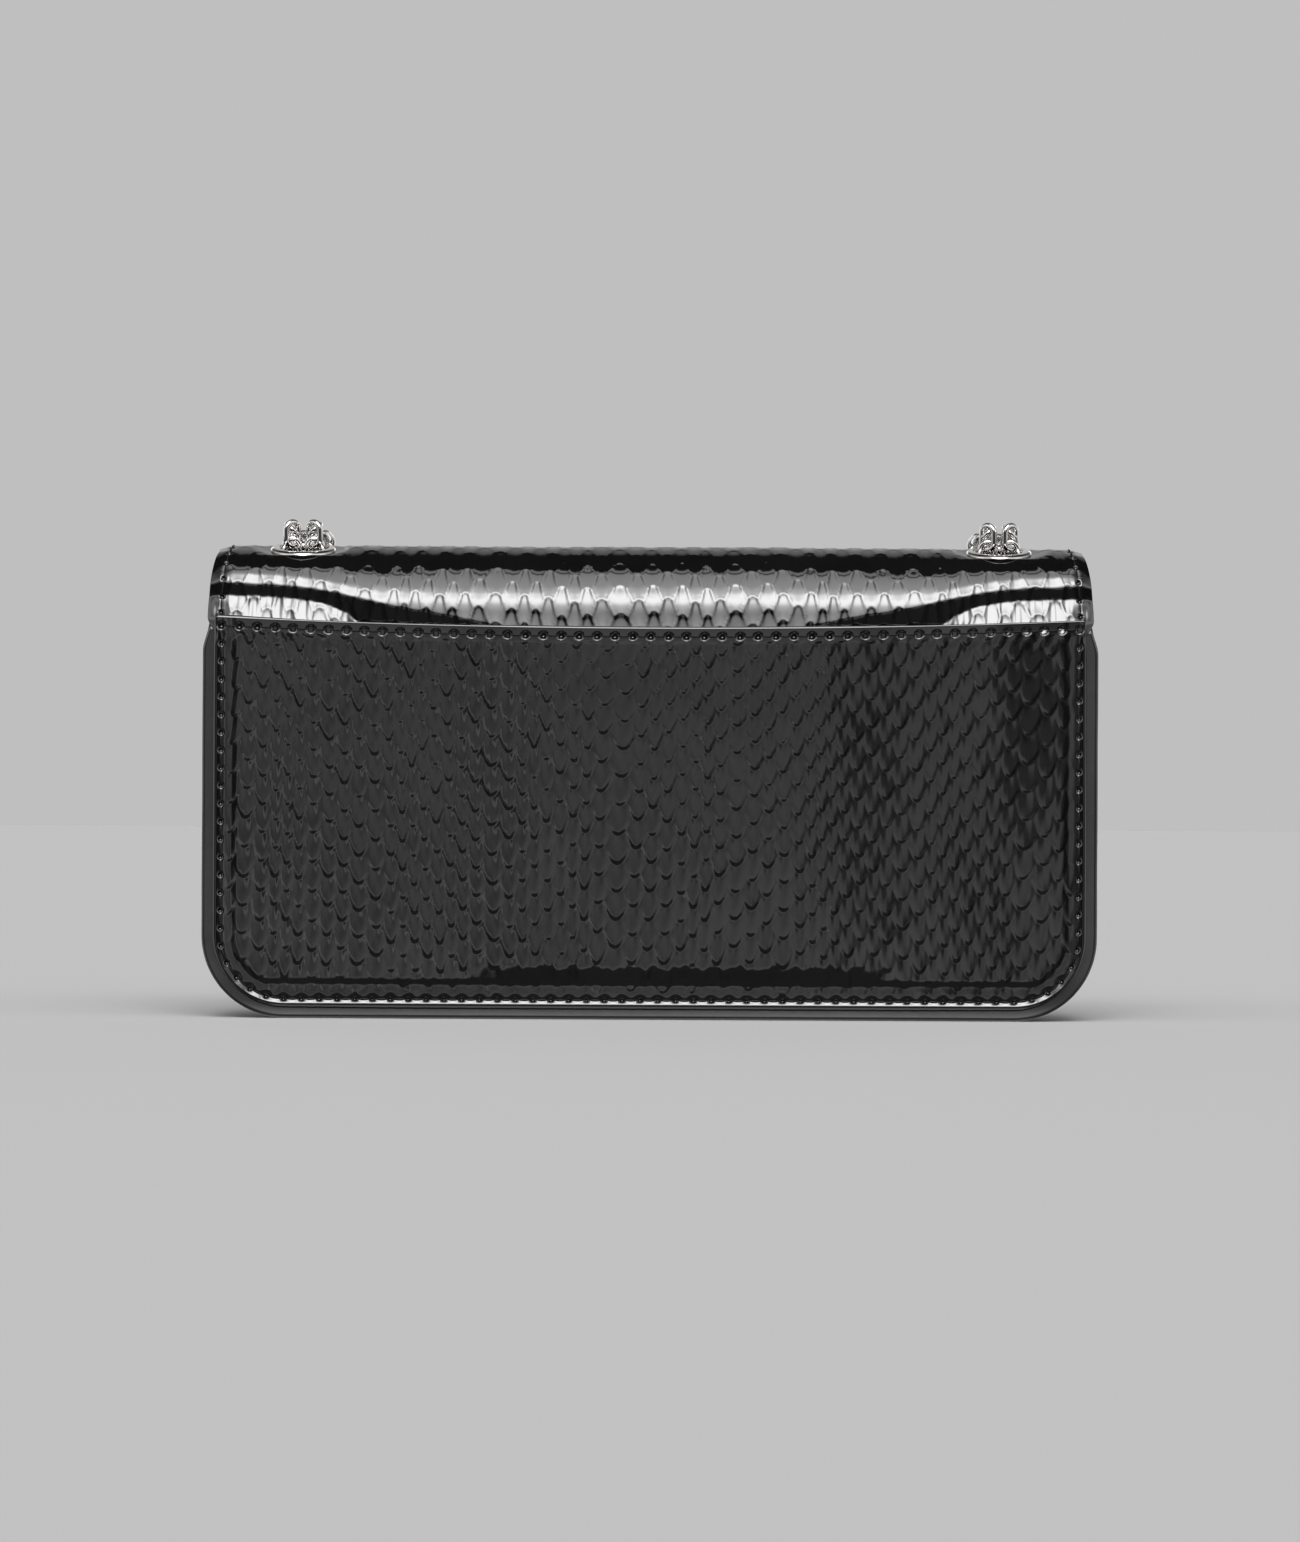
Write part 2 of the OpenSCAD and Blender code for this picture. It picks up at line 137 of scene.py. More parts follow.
def piece(name, verts, faces, mats, ids=None, closed=True):
    """A mesh object from points in millimetres. ids gives each face's material."""
    mesh = bpy.data.meshes.new(name)
    mesh.from_pydata((np.asarray(verts, float) * MM).tolist(), [], faces)
    for m in mats:
        mesh.materials.append(m)
    if ids is not None:
        mesh.polygons.foreach_set("material_index", np.asarray(ids, np.int32))
    mesh.polygons.foreach_set("use_smooth", np.ones(len(mesh.polygons), bool))
    if closed:
        work = bmesh.new()
        work.from_mesh(mesh)
        bmesh.ops.recalc_face_normals(work, faces=work.faces)
        work.to_mesh(mesh)
        work.free()
    mesh.update()
    obj = bpy.data.objects.new(name, mesh)
    bpy.context.scene.collection.objects.link(obj)
    return obj


def belongs(obj, body, node=None):
    """The body that a piece rides on, and the CAD node it replaces."""
    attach(obj, body)
    if node:
        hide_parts(node)


def quads(index, wrap_rows=False, wrap_cols=False):
    """Quads over a 2-D array of point numbers."""
    if wrap_rows:
        index = np.vstack([index, index[:1]])
    if wrap_cols:
        index = np.hstack([index, index[:, :1]])
    return np.stack([index[:-1, :-1], index[:-1, 1:], index[1:, 1:], index[1:, :-1]], -1).reshape(-1, 4)


def border(index):
    """A grid's outer point numbers, once round."""
    return np.concatenate([index[0, :-1], index[:-1, -1], index[-1, :0:-1], index[:0:-1, 0]])


def resample(points, at):
    """Points along a line of points, at the distances given, or that many at even steps."""
    points = np.asarray(points, float)
    run = np.concatenate([[0], np.cumsum(np.linalg.norm(np.diff(points, axis=0), axis=1))])
    at = np.linspace(0, run[-1], at) if isinstance(at, int) else at * run[-1] / at[-1]
    return np.stack([np.interp(at, run, points[:, i]) for i in range(points.shape[1])], 1)


def marks(length, cells, coarse):
    """Distances from 0 to length whose steps are of one size, or follow the (distance, step)
    pairs in cells. The number of steps is a multiple of coarse."""
    if isinstance(cells, float):
        cells = ((0, cells),)
    fine = np.linspace(0, length, 2000)
    at, size = np.array(cells, float).T
    done = np.concatenate([[0], np.cumsum(np.diff(fine) / np.interp(fine[1:], at, size))])
    count = coarse * max(2, round(done[-1] / coarse))
    return np.interp(np.linspace(0, done[-1], count + 1), done, fine)


def both_edges(length, margin, edge_cell, cell):
    """Cells for marks: edge_cell within margin of both ends and cell between."""
    return (
        (0, edge_cell), (margin, edge_cell), (1.6 * margin, cell),
        (length - 1.6 * margin, cell), (length - margin, edge_cell), (length, edge_cell),
    )


def tubes(paths, normals, radii, sides):
    """Round tubes along the paths of a (tube, step, 3) array, with a radius for each step."""
    n, steps, _ = paths.shape
    ahead = unit(np.gradient(paths, axis=1))
    side = unit(np.cross(ahead, normals))
    up = np.cross(side, ahead)
    angle = np.arange(sides) * 2 * math.pi / sides
    ring = side[:, :, None] * np.cos(angle)[:, None] + up[:, :, None] * np.sin(angle)[:, None]
    verts = paths[:, :, None] + ring * radii[:, None, None]
    index = np.arange(n * steps * sides).reshape(n, steps, sides)
    faces = np.concatenate([quads(i, wrap_cols=True) for i in index]).tolist()
    for i in index:
        faces += [i[0, ::-1].tolist(), i[-1].tolist()]
    return verts.reshape(-1, 3), faces


def lathe(name, profile, matrix, mats, turns=72):
    """A closed profile of (radius, height) points, turned about the matrix's z axis."""
    profile = np.asarray(profile, float)
    angle = np.arange(turns) * 2 * math.pi / turns
    r, z = profile[:, 0], profile[:, 1]
    around = np.outer(np.cos(angle), r), np.outer(np.sin(angle), r)
    verts = np.stack([*around, np.broadcast_to(z, around[0].shape)], -1).reshape(-1, 3)
    m = np.array(matrix)
    verts = verts @ m[:3, :3].T + m[:3, 3]
    faces = quads(np.arange(len(verts)).reshape(turns, -1), wrap_rows=True, wrap_cols=True).tolist()
    return piece(name, verts, faces, mats)


def rounded(points, radius, steps=4):
    """A closed outline with each corner rounded off."""
    points = [np.array(p, float) for p in points]
    out = []
    for before, at, after in zip(points[-1:] + points[:-1], points, points[1:] + points[:1]):
        a, b = unit(before - at), unit(after - at)
        reach = min(radius, 0.45 * np.linalg.norm(before - at), 0.45 * np.linalg.norm(after - at))
        start, end = at + a * reach, at + b * reach
        for t in np.linspace(0, 1, steps):
            out.append((1 - t) ** 2 * start + 2 * t * (1 - t) * at + t * t * end)
    return np.array(out)


# Flat layouts


def sheet_grid(half, corner, top, bottom, rows, cols, coarse):
    """Grid of (x, s) over a sheet with its lower corners rounded. Its own lower corners sit
    halfway round the arcs, so that its cells stay even. rows and cols are cells for marks."""
    arc = np.radians(np.linspace(0, 45, 12))
    cx, cs = half - corner, bottom - corner
    right = [(half, top)] + [(cx + corner * math.cos(a), cs + corner * math.sin(a)) for a in arc]
    low = [(cx + corner * math.sin(a), cs + corner * math.cos(a)) for a in arc[::-1]]
    low = [(-x, s) for x, s in low] + [(x, s) for x, s in low[::-1]]
    down, along = marks(bottom - top, rows, coarse), marks(2 * half, cols, coarse)
    right, low = resample(right, down), resample(low, along)
    left = right * [-1, 1]
    over = resample([(-half, top), (half, top)], along)
    v = np.linspace(0, 1, len(down))[:, None, None]
    u = np.linspace(0, 1, len(along))[None, :, None]
    corners = (1 - u) * (1 - v) * over[0] + u * (1 - v) * over[-1] + (1 - u) * v * low[0] + u * v * low[-1]
    return (1 - v) * over[None] + v * low[None] + (1 - u) * left[:, None] + u * right[:, None] - corners


def edge_distance(x, s, half, corner, bottom):
    """Distance in from the sides and the rounded bottom of a sheet."""
    ax, low = np.abs(x) - (half - corner), s - (bottom - corner)
    in_corner = (ax > 0) & (low > 0)
    return np.where(in_corner, corner - np.hypot(ax, low), np.minimum(half - np.abs(x), bottom - s))


def u_seam(half, corner, top, bottom, inset):
    """Stitch holes down one side, round the bottom and up the other."""
    r = corner - inset
    arc = np.radians(np.linspace(0, 90, 24))
    side = [(half - corner + r * math.cos(a), bottom - corner + r * math.sin(a)) for a in arc]
    line = [(half - inset, top)] + side + [(-x, s) for x, s in side[::-1]] + [(inset - half, top)]
    length = np.linalg.norm(np.diff(np.array(line), axis=0), axis=1).sum()
    return resample(line, round(length / STITCH_PITCH) + 1)


def line_seam(start, end):
    count = round(np.linalg.norm(np.subtract(end, start)) / STITCH_PITCH) + 1
    return resample([start, end], count)


# Scales

COLUMN_WANDER = ((0.13, 0.19, 0.012, 1.3), (0.04, 0.43, -0.02, 0.4), (0.18, 0.06, 0.02, 2.2))
ROW_WANDER = ((0.16, 0.055, 0.02, 0.3), (0.07, 0.19, 0.05, 1.9), (0.05, 0.4, 0.11, 0.8))


# Height of a sideways lean that differs from scale to scale
UNEVEN_TWIST = 0.09


def scale_height(
    x, s, pitch, row, drop, phase, tilt, pillow, lip, lip_w, groove, groove_w, side
):
    """Height in mm of one layer of overlapping scales, whose plates lie near 0. Each row
    covers the next one's base, and a scale's free edge falls drop rows from tip to side.
    Plates rise towards their tips by tilt and arch by pillow. Their edges step down by lip,
    and the leather just past an edge lies lower by groove. side is the share of this relief
    that is left along a scale's steep sides."""
    u = x / pitch + waves(x, s + phase, COLUMN_WANDER)
    v = s / row + waves(x, s + phase, ROW_WANDER)
    base = np.floor(2 * (v - drop)) - 1
    found = np.zeros(x.shape, bool)
    above = np.full(x.shape, -1e3)
    above_c, own_c, own_tag = np.zeros(x.shape), np.zeros(x.shape), np.zeros(x.shape)
    ahead, behind = np.ones(x.shape), np.ones(x.shape)
    for step in range(int(2 * drop) + 5):
        k = base + step
        c = u - 0.5 * np.mod(k, 2)
        column = np.round(c)
        c = c - column
        edge = k / 2 + drop * (1 - (2 * c) ** 2)
        covers = ~found & (edge >= v)
        ahead[covers] = (edge - v)[covers]
        behind[covers] = (v - above)[covers]
        own_c[covers] = c[covers]
        own_tag[covers] = (k * 12.9898 + column * 78.233)[covers]
        found |= covers
        over = ~found & (edge > above)
        above[over], above_c[over] = edge[over], c[over]
    near, far = ahead * row, np.minimum(behind, 2) * row
    lean = drop * 4 * row / pitch
    slope, slope_over = 1 / np.hypot(1, lean * 2 * own_c), 1 / np.hypot(1, lean * 2 * above_c)
    tip, tip_over = side + (1 - side) * slope, side + (1 - side) * slope_over
    chance = np.sin(own_tag) * 43758.5453
    chance = chance - np.floor(chance) - 0.5
    rise = tilt * (1 + 2 * chance) * tip * far / (far + near + 1e-6)
    plate = rise - pillow * (2 * own_c) ** 2 + UNEVEN_TWIST * chance * own_c
    edge_drop = -lip * tip * np.exp(-near * slope / lip_w)
    gap = -groove * tip_over * np.exp(-far * slope_over / groove_w)
    return plate + edge_drop + gap


def scales(x, s, **lattice):
    """scale_height averaged over each cell of the grid, so that edges don't turn into steps."""
    wide, tall = np.gradient(x, axis=1) / 3, np.gradient(s, axis=0) / 3
    shifts = [(i, j) for i in (-1, 0, 1) for j in (-1, 0, 1)]
    return sum(scale_height(x + i * wide, s + j * tall, **lattice) for i, j in shifts) / len(shifts)


# Body panels: past a scale's edge the leather lies lower and comes up again slowly
PANEL_SCALES = dict(
    pitch=6.9, row=7.2, drop=1.45, phase=0.0,
    tilt=0.05, pillow=0.015, lip=0.03, lip_w=0.25, groove=0.12, groove_w=4.5, side=0.25,
)
# The flap's leather comes over from the front. On the back of the roll the tips point up
# and lie a little under what is above them
FLAP_LATTICE = dict(pitch=6.7, row=7.2, drop=1.15, phase=40.0)
FLAP_FRONT = dict(
    tilt=0.05, pillow=0.02, lip=0.02, lip_w=0.22, groove=0.09, groove_w=0.9, side=0.45
)
FLAP_ROLL = dict(
    tilt=0.02, pillow=0.03, lip=-0.18, lip_w=0.42, groove=-0.2, groove_w=2.4, side=0.75
)


# Sheets of leather

# Points round the half-round edge of a sheet
RIM_STEPS = 6


def seam_height(distance, depth=0.1, width=0.5):
    """A seam's groove at this distance from its line."""
    return -depth * bell(distance, width)


def pits(x, s, holes, depth=0.7, radius=0.52):
    """Dimples where the thread goes down, with steep walls."""
    total = np.zeros(x.shape)
    for hx, hs in holes:
        near = (np.abs(x - hx) < 2 * radius) & (np.abs(s - hs) < 2 * radius)
        total[near] -= depth * bell(np.hypot(x[near] - hx, s[near] - hs) ** 4 / radius**4, 1)
    return total


def leather(name, grid, place, outer, inner, mats, coarse=4, openings=()):
    """A sheet from a grid of (x, s): outer and inner give heights over the surface that
    place maps to, and the edge is a half round. The inner side has one cell for coarse by
    coarse of the outer ones. openings are (x, s, radius) holes."""
    x, s = grid[..., 0], grid[..., 1]
    point, normal, across, down = place(x, s)
    top = point + normal * outer(x, s)[..., None]
    under = point + normal * inner(x, s)[..., None]

    def uncut(faces, flat):
        centre = flat.reshape(-1, 2)[faces].mean(1)
        keep = np.ones(len(faces), bool)
        for hole_x, hole_s, radius in openings:
            keep &= np.hypot(centre[:, 0] - hole_x, centre[:, 1] - hole_s) > radius
        return faces[keep]

    index = np.arange(x.size).reshape(x.shape)
    loop = border(index)
    ring = grid.reshape(-1, 2)[loop]
    along = unit(np.roll(ring, -1, 0) - np.roll(ring, 1, 0))
    out = np.stack([along[:, 1], -along[:, 0]], 1)
    if (out * (ring - ring.mean(0))).sum() < 0:
        out = -out
    upper, lower, across, down = (a.reshape(-1, 3)[loop] for a in (top, under, across, down))
    outwards = unit(across * out[:, :1] + down * out[:, 1:])
    middle, reach = (upper + lower) / 2, np.linalg.norm(upper - lower, axis=1)[:, None] / 2
    up = unit(upper - lower)
    verts = [top.reshape(-1, 3)]
    count = x.size
    faces = uncut(quads(index), grid).tolist()
    ids = [0] * len(faces)
    last = loop
    for a in np.linspace(0, math.pi, RIM_STEPS + 2)[1:-1]:
        verts.append(middle + reach * (math.cos(a) * up + math.sin(a) * outwards))
        now = count + np.arange(len(loop))
        count += len(loop)
        strip = quads(np.stack([last, now]), wrap_cols=True).tolist()
        faces += strip
        ids += [1] * len(strip)
        last = now
    few = under[::coarse, ::coarse]
    few_index = np.arange(few.shape[0] * few.shape[1]).reshape(few.shape[:2])
    verts.append(few.reshape(-1, 3))
    inside = (count + uncut(quads(few_index), grid[::coarse, ::coarse])).tolist()
    faces += inside
    ids += [2] * len(inside)
    few_loop = count + border(few_index)
    size = len(few_loop)
    for i in range(size):
        run = [last[(coarse * (i + 1) - j) % len(last)] for j in range(coarse + 1)]
        faces.append([int(few_loop[i]), int(few_loop[(i + 1) % size])] + [int(r) for r in run])
        ids.append(1)
    return piece(name, np.concatenate(verts), faces, mats, ids)


def thread(name, seams, place, height, mats, lift=0.1, dive=0.42):
    """Stitches between the holes of each seam. height gives the leather's height there."""
    paths, normals = [], []
    t = np.linspace(0, 1, 8)
    rise = (lift + dive) * np.sin(math.pi * t) ** 0.55 - dive
    along = 0.09 + 0.82 * t
    for holes in seams:
        for a, b in zip(holes[:-1], holes[1:]):
            at = a + (b - a) * along[:, None]
            point, normal, _, _ = place(at[:, 0], at[:, 1])
            paths.append(point + normal * (height(at[:, 0], at[:, 1]) + rise)[:, None])
            normals.append(normal)
    taper = np.clip(np.sin(math.pi * np.clip(t, 0.04, 0.96)) ** 0.4, 0.3, 1)
    verts, faces = tubes(np.array(paths), np.array(normals), THREAD_R * taper, 8)
    return piece(name, verts, faces, mats)


def level(height):
    """A height that is the same all over."""
    return lambda x, s: np.full(x.shape, height)


def upright(face, facing, top_z):
    """place function of a flat sheet hanging from height top_z, its face at y."""

    def place(x, s):
        point = np.stack([x, np.full(x.shape, face), top_z - s], -1)
        normal = np.broadcast_to([0.0, facing, 0.0], point.shape)
        across = np.broadcast_to([1.0, 0.0, 0.0], point.shape)
        down = np.broadcast_to([0.0, 0.0, -1.0], point.shape)
        return point, normal, across, down

    return place


# Materials


def put(node, socket, value):
    node.inputs[socket].default_value = value


def node_material(name, base, roughness, metallic=0.0):
    mat = bpy.data.materials.new(name)
    mat.use_nodes = True
    shader = mat.node_tree.nodes["Principled BSDF"]
    put(shader, "Base Color", (*base, 1))
    put(shader, "Roughness", roughness)
    put(shader, "Metallic", metallic)
    return mat, shader


def add(owner, kind, **values):
    """A new node for a material or world. values set its sockets and properties."""
    node = owner.node_tree.nodes.new(kind)
    for key, value in values.items():
        if key in node.inputs:
            put(node, key, value)
        else:
            setattr(node, key, value)
    return node


def link(owner, out, into):
    owner.node_tree.links.new(out, into)


def noise(mat, scale, detail=2.0, stretch=(1, 1, 1)):
    """Noise in object space. scale is in features per metre."""
    where = add(mat, "ShaderNodeTexCoord")
    mapping = add(mat, "ShaderNodeMapping", Scale=stretch)
    texture = add(mat, "ShaderNodeTexNoise", Scale=scale, Detail=detail)
    link(mat, where.outputs["Object"], mapping.inputs["Vector"])
    link(mat, mapping.outputs["Vector"], texture.inputs["Vector"])
    return texture.outputs["Fac"]


def bump(mat, height, strength, distance, normal=None):
    node = add(mat, "ShaderNodeBump", Strength=strength, Distance=distance)
    link(mat, height, node.inputs["Height"])
    if normal is not None:
        link(mat, normal, node.inputs["Normal"])
    return node.outputs["Normal"]


def vary(mat, shader, source, low, high, start=0.3, end=0.7):
    """Roughness between low and high, by the source."""
    node = add(mat, "ShaderNodeMapRange")
    for socket, value in (("From Min", start), ("From Max", end), ("To Min", low), ("To Max", high)):
        put(node, socket, value)
    link(mat, source, node.inputs["Value"])
    link(mat, node.outputs["Result"], shader.inputs["Roughness"])


def tint(mat, shader, source, base, low, high):
    """Base colour between low and high times base, by the source."""
    node = add(mat, "ShaderNodeValToRGB")
    for stop, at, share in zip(node.color_ramp.elements, (0.35, 0.65), (low, high)):
        stop.position = at
        stop.color = (*(share * b for b in base), 1)
    link(mat, source, node.inputs["Fac"])
    link(mat, node.outputs["Color"], shader.inputs["Base Color"])


def patent(name, base, base_roughness, coat_roughness, grain):
    """Leather under a clear gloss film: fine grain in the leather, slow waves in the film."""
    mat, shader = node_material(name, base, base_roughness)
    put(shader, "Specular IOR Level", 0.0)
    put(shader, "Coat Weight", 1.0)
    put(shader, "Coat Roughness", coat_roughness)
    put(shader, "Coat IOR", 1.85)
    tint(mat, shader, noise(mat, 38, 3), base, 0.8, 1.2)
    vary(mat, shader, noise(mat, 120, 3), base_roughness - 0.05, base_roughness + 0.07)
    film = bump(mat, noise(mat, 160, 2), 1.0, grain)
    pores = bump(mat, noise(mat, 1500, 2), 1.0, grain * 0.12, film)
    link(mat, pores, shader.inputs["Normal"])
    link(mat, film, shader.inputs["Coat Normal"])
    return mat


def weave(name, base, threads):
    """Plain-woven cloth, with that many threads per metre."""
    mat, shader = node_material(name, base, 0.85)
    put(shader, "Sheen Weight", 0.25)
    put(shader, "Sheen Roughness", 0.4)
    where = add(mat, "ShaderNodeTexCoord")
    bands = []
    for turn in ((0, 0, 0), (0, math.pi / 2, 0)):
        mapping = add(mat, "ShaderNodeMapping", Rotation=turn)
        link(mat, where.outputs["Object"], mapping.inputs["Vector"])
        wave = add(mat, "ShaderNodeTexWave", Scale=threads / 20, Distortion=0.6, bands_direction="X")
        link(mat, mapping.outputs["Vector"], wave.inputs["Vector"])
        bands.append(wave.outputs["Fac"])
    cloth = add(mat, "ShaderNodeMath", operation="MAXIMUM")
    link(mat, bands[0], cloth.inputs[0])
    link(mat, bands[1], cloth.inputs[1])
    tint(mat, shader, cloth.outputs[0], base, 0.65, 1.25)
    link(mat, bump(mat, cloth.outputs[0], 0.6, 0.00012), shader.inputs["Normal"])
    return mat


def grained(name, base, roughness, scale, depth, contrast=0.25):
    """Pebbled or fibrous surface: cells of leather grain over a slow change of tone."""
    mat, shader = node_material(name, base, roughness)
    where = add(mat, "ShaderNodeTexCoord")
    cells = add(mat, "ShaderNodeTexVoronoi", Scale=scale, feature="DISTANCE_TO_EDGE")
    link(mat, where.outputs["Object"], cells.inputs["Vector"])
    tint(mat, shader, noise(mat, scale / 12, 4), base, 1 - contrast, 1 + contrast)
    vary(mat, shader, cells.outputs["Distance"], roughness + 0.1, roughness - 0.05, 0, 0.3)
    link(mat, bump(mat, cells.outputs["Distance"], 0.7, depth), shader.inputs["Normal"])
    return mat


def waxed(name, base):
    """Twisted and waxed sewing thread."""
    mat, shader = node_material(name, base, 0.5)
    put(shader, "Specular IOR Level", 0.3)
    twist = noise(mat, 2400, 2, (1, 1, 2.5))
    tint(mat, shader, twist, base, 0.6, 1.5)
    link(mat, bump(mat, twist, 0.8, 0.00008), shader.inputs["Normal"])
    return mat


def metal(name, base, roughness, brush=None):
    """Plated metal with faint wear and, where brush is given, fine turning lines."""
    mat, shader = node_material(name, base, roughness, 1.0)
    vary(mat, shader, noise(mat, 420, 4), roughness * 0.7, roughness * 1.6)
    tint(mat, shader, noise(mat, 260, 3), base, 0.9, 1)
    texture = noise(mat, 900, 3, brush or (1, 1, 1))
    link(mat, bump(mat, texture, 0.5, 0.00004 if brush else 0.00002), shader.inputs["Normal"])
    return mat


EMBOSSED = patent("embossed_patent", (0.0045, 0.0046, 0.0047), 0.3, 0.03, 0.000012)
SMOOTH = patent("smooth_patent", (0.019, 0.019, 0.0195), 0.3, 0.06, 0.00002)
EDGE = patent("painted_edge", (0.006, 0.006, 0.0064), 0.3, 0.06, 0.00001)
SUEDED = grained("leather_back", (0.03, 0.029, 0.028), 0.8, 3200, 0.00008)
FLAP_LINING = grained("flap_lining_leather", (0.022, 0.022, 0.0235), 0.42, 1700, 0.00007)
LINING = weave("lining_cloth", (0.03, 0.03, 0.033), 2600)
BOARD = grained("bonded_board", (0.42, 0.33, 0.24), 0.85, 900, 0.0001, 0.2)
THREAD = waxed("waxed_thread", (0.005, 0.005, 0.0054))
SILVER = metal("polished_silver", (0.86, 0.845, 0.83), 0.1)
SNAP = metal("satin_snap", (0.72, 0.72, 0.71), 0.22, (1, 12, 1))


# Body panels: what the pocket and the front share

# Seams' distances in from a panel's edge
SIDE_SEAM = 1.75
TOP_SEAM = 2.7
# Materials of a leather sheet's face, edge and back
SKIN = [EMBOSSED, EDGE, SUEDED]
# Width of the zone of finer cells along a panel's edges
EDGE_ZONE = 5.5


def panel_grid(length, rows, cols, coarse=4):
    half_t = LEATHER_T / 2
    return sheet_grid(
        PANEL_HALF - half_t, PANEL_R - half_t, half_t, length - half_t, rows, cols, coarse
    )


def panel_edge(x, s, length):
    return edge_distance(x, s, PANEL_HALF, PANEL_R, length)


def panel_mask(d, s):
    """1 where a panel has scales, 0 along its seams."""
    return ramp(3.0, 4.6, d) * ramp(TOP_SEAM + 0.8, TOP_SEAM + 2.4, s)


def panel_seams(length):
    """Stitch holes round a panel's sides and bottom, and along its top."""
    edge = PANEL_HALF - SIDE_SEAM
    sides = u_seam(PANEL_HALF, PANEL_R, TOP_SEAM + STITCH_PITCH, length, SIDE_SEAM)
    return sides, line_seam((-edge, TOP_SEAM), (edge, TOP_SEAM))


# Pocket panel


def pocket_place(x, s):
    """An upright sheet whose upper edge dips in the middle."""
    point, normal, across, down = upright(FACE_Y + LEATHER_T, 1.0, POCKET_H)(x, s)
    dip = POCKET_DIP * (1 - (x / PANEL_HALF) ** 2) * (1 - np.clip(s / POCKET_L, 0, 1)) ** 1.5
    return point - dip[..., None] * [0, 0, 1], normal, across, down


# Height of the pocket's flat at its edges, over the CAD panel's face
PLANE = -0.22
# Middle of the flat band along the lower edge
BAND_X = -7.5


def pocket_crown(x, s, d):
    """How far the leather stands out. Across the middle of the lower edge it bends in over
    some 5 mm and then lies flat to the seam, and elsewhere over 2 mm."""
    low, aside = POCKET_L - s, PANEL_HALF - np.abs(x)
    sides = 0.025 * ramp(2.4, 4.0, aside) + 0.32 * ramp(6, 52, aside)
    middle = 1 - ramp(34, 58, np.abs(x - BAND_X))
    uneven = 0.5 * np.sin(0.9 * x + np.sin(0.37 * x)) + 0.25 * np.sin(2.3 * x)
    edge = 0.12 * ramp(5.2, 7.2, np.minimum(low, d + 1.2))
    bend = 0.42 * middle * ramp(5.4, 10.4, low + uneven) + edge
    belly = 0.15 * ramp(8, 50, low)
    mouth = -0.36 * ramp(34, 0, s) * ramp(2, 40, aside)
    lean = -0.75 * ramp(25, 3, PANEL_HALF + x) * ramp(70, 20, s)
    return PLANE + sides + bend + belly + mouth + lean


def pocket_base(x, s):
    """The pocket without its scales and stitch holes: crown, slow waves, the hem's bevel and
    the puckers that the upper seam draws."""
    d = panel_edge(x, s, POCKET_L)
    top = np.clip(s, 0, None)
    below = top - TOP_SEAM
    slow = waves(
        x, s, ((0.08, 0.05, 0.045, 0.5), (0.035, -0.11, 0.08, 1.1), (0.015, 0.23, 0.17, 0.2))
    )
    slow = slow * ramp(5, 22, np.minimum(d, top))
    hem = 0.385 * np.clip((SIDE_SEAM - d) / 1.15, 0, 1) * ramp(3, 8, top)
    hem = hem + 0.04 * ramp(2.5, 0.4, top)
    drawn = np.exp(-np.clip(below - 0.5, 0, None) / 2.4) * ramp(TOP_SEAM + 0.2, TOP_SEAM + 1.4, top)
    pull = (x + 0.7 * np.sign(x) * below) / STITCH_PITCH
    towards_ends = 0.2 + 0.8 * ramp(52, 92, np.abs(x))
    pucker = 0.075 * np.sin(2 * math.pi * pull + 2.0 * np.sin(0.21 * x)) * towards_ends
    seams = seam_height(d - SIDE_SEAM, 0.045) + seam_height(below, 0.025)
    return pocket_crown(x, s, d) + slow + hem + pucker * drawn * ramp(1.5, 5, d) + seams


def build_pocket():
    rows = both_edges(POCKET_L, EDGE_ZONE, 0.3, 0.36)
    cols = both_edges(2 * PANEL_HALF, EDGE_ZONE, 0.32, 0.38)
    side_holes, top_holes = panel_seams(POCKET_L)

    def outer(x, s):
        mask = panel_mask(panel_edge(x, s, POCKET_L), s)
        holes = pits(x, s, side_holes) + pits(x, s, top_holes, 1.0, 0.75)
        holes += pits(x, s, side_holes, 0.06, 1.5) * ramp(POCKET_L - 12, POCKET_L - 7, s)
        return pocket_base(x, s) + mask * scales(x, s, **PANEL_SCALES) + holes

    def inner(x, s):
        d = panel_edge(x, s, POCKET_L)
        return -LEATHER_T + 0.3 * ramp(3, 10, d) + 0.5 * ramp(6, 26, d)

    grid = panel_grid(POCKET_L, rows, cols)
    skin = leather("pocket_leather", grid, pocket_place, outer, inner, SKIN)
    holes = [side_holes, top_holes]
    seams = thread("pocket_stitches", holes, pocket_place, pocket_base, [THREAD])
    belongs(skin, "bag", "pocket_panel")
    belongs(seams, "bag")


# Back and front panels

# Top of the back panel's leather, where the flap's tail meets it
TAIL_Z = 92.5


def build_back():
    length = TAIL_Z - PANEL_INSET
    proud = 0.05
    skin = leather(
        "back_leather",
        panel_grid(length, 3.0, 3.0, 1),
        upright(FACE_Y - proud, 1.0, TAIL_Z),
        level(0.0),
        level(-LEATHER_T + proud),
        [SMOOTH, EDGE, SUEDED],
        coarse=1,
    )
    belongs(skin, "bag", "back_panel")


def snap_distance(x, s):
    return np.hypot(x, s - (FRONT_H - SNAP_Z))


def front_base(x, s):
    """The front without its scales and stitch holes. It stays flat round the snap."""
    d = panel_edge(x, s, FRONT_L)
    belly = 0.35 * ramp(3, 30, np.minimum(d, s)) * ramp(0, 12, snap_distance(x, s) - 6)
    return belly - 0.35 + seam_height(d - SIDE_SEAM) + seam_height(s - TOP_SEAM)


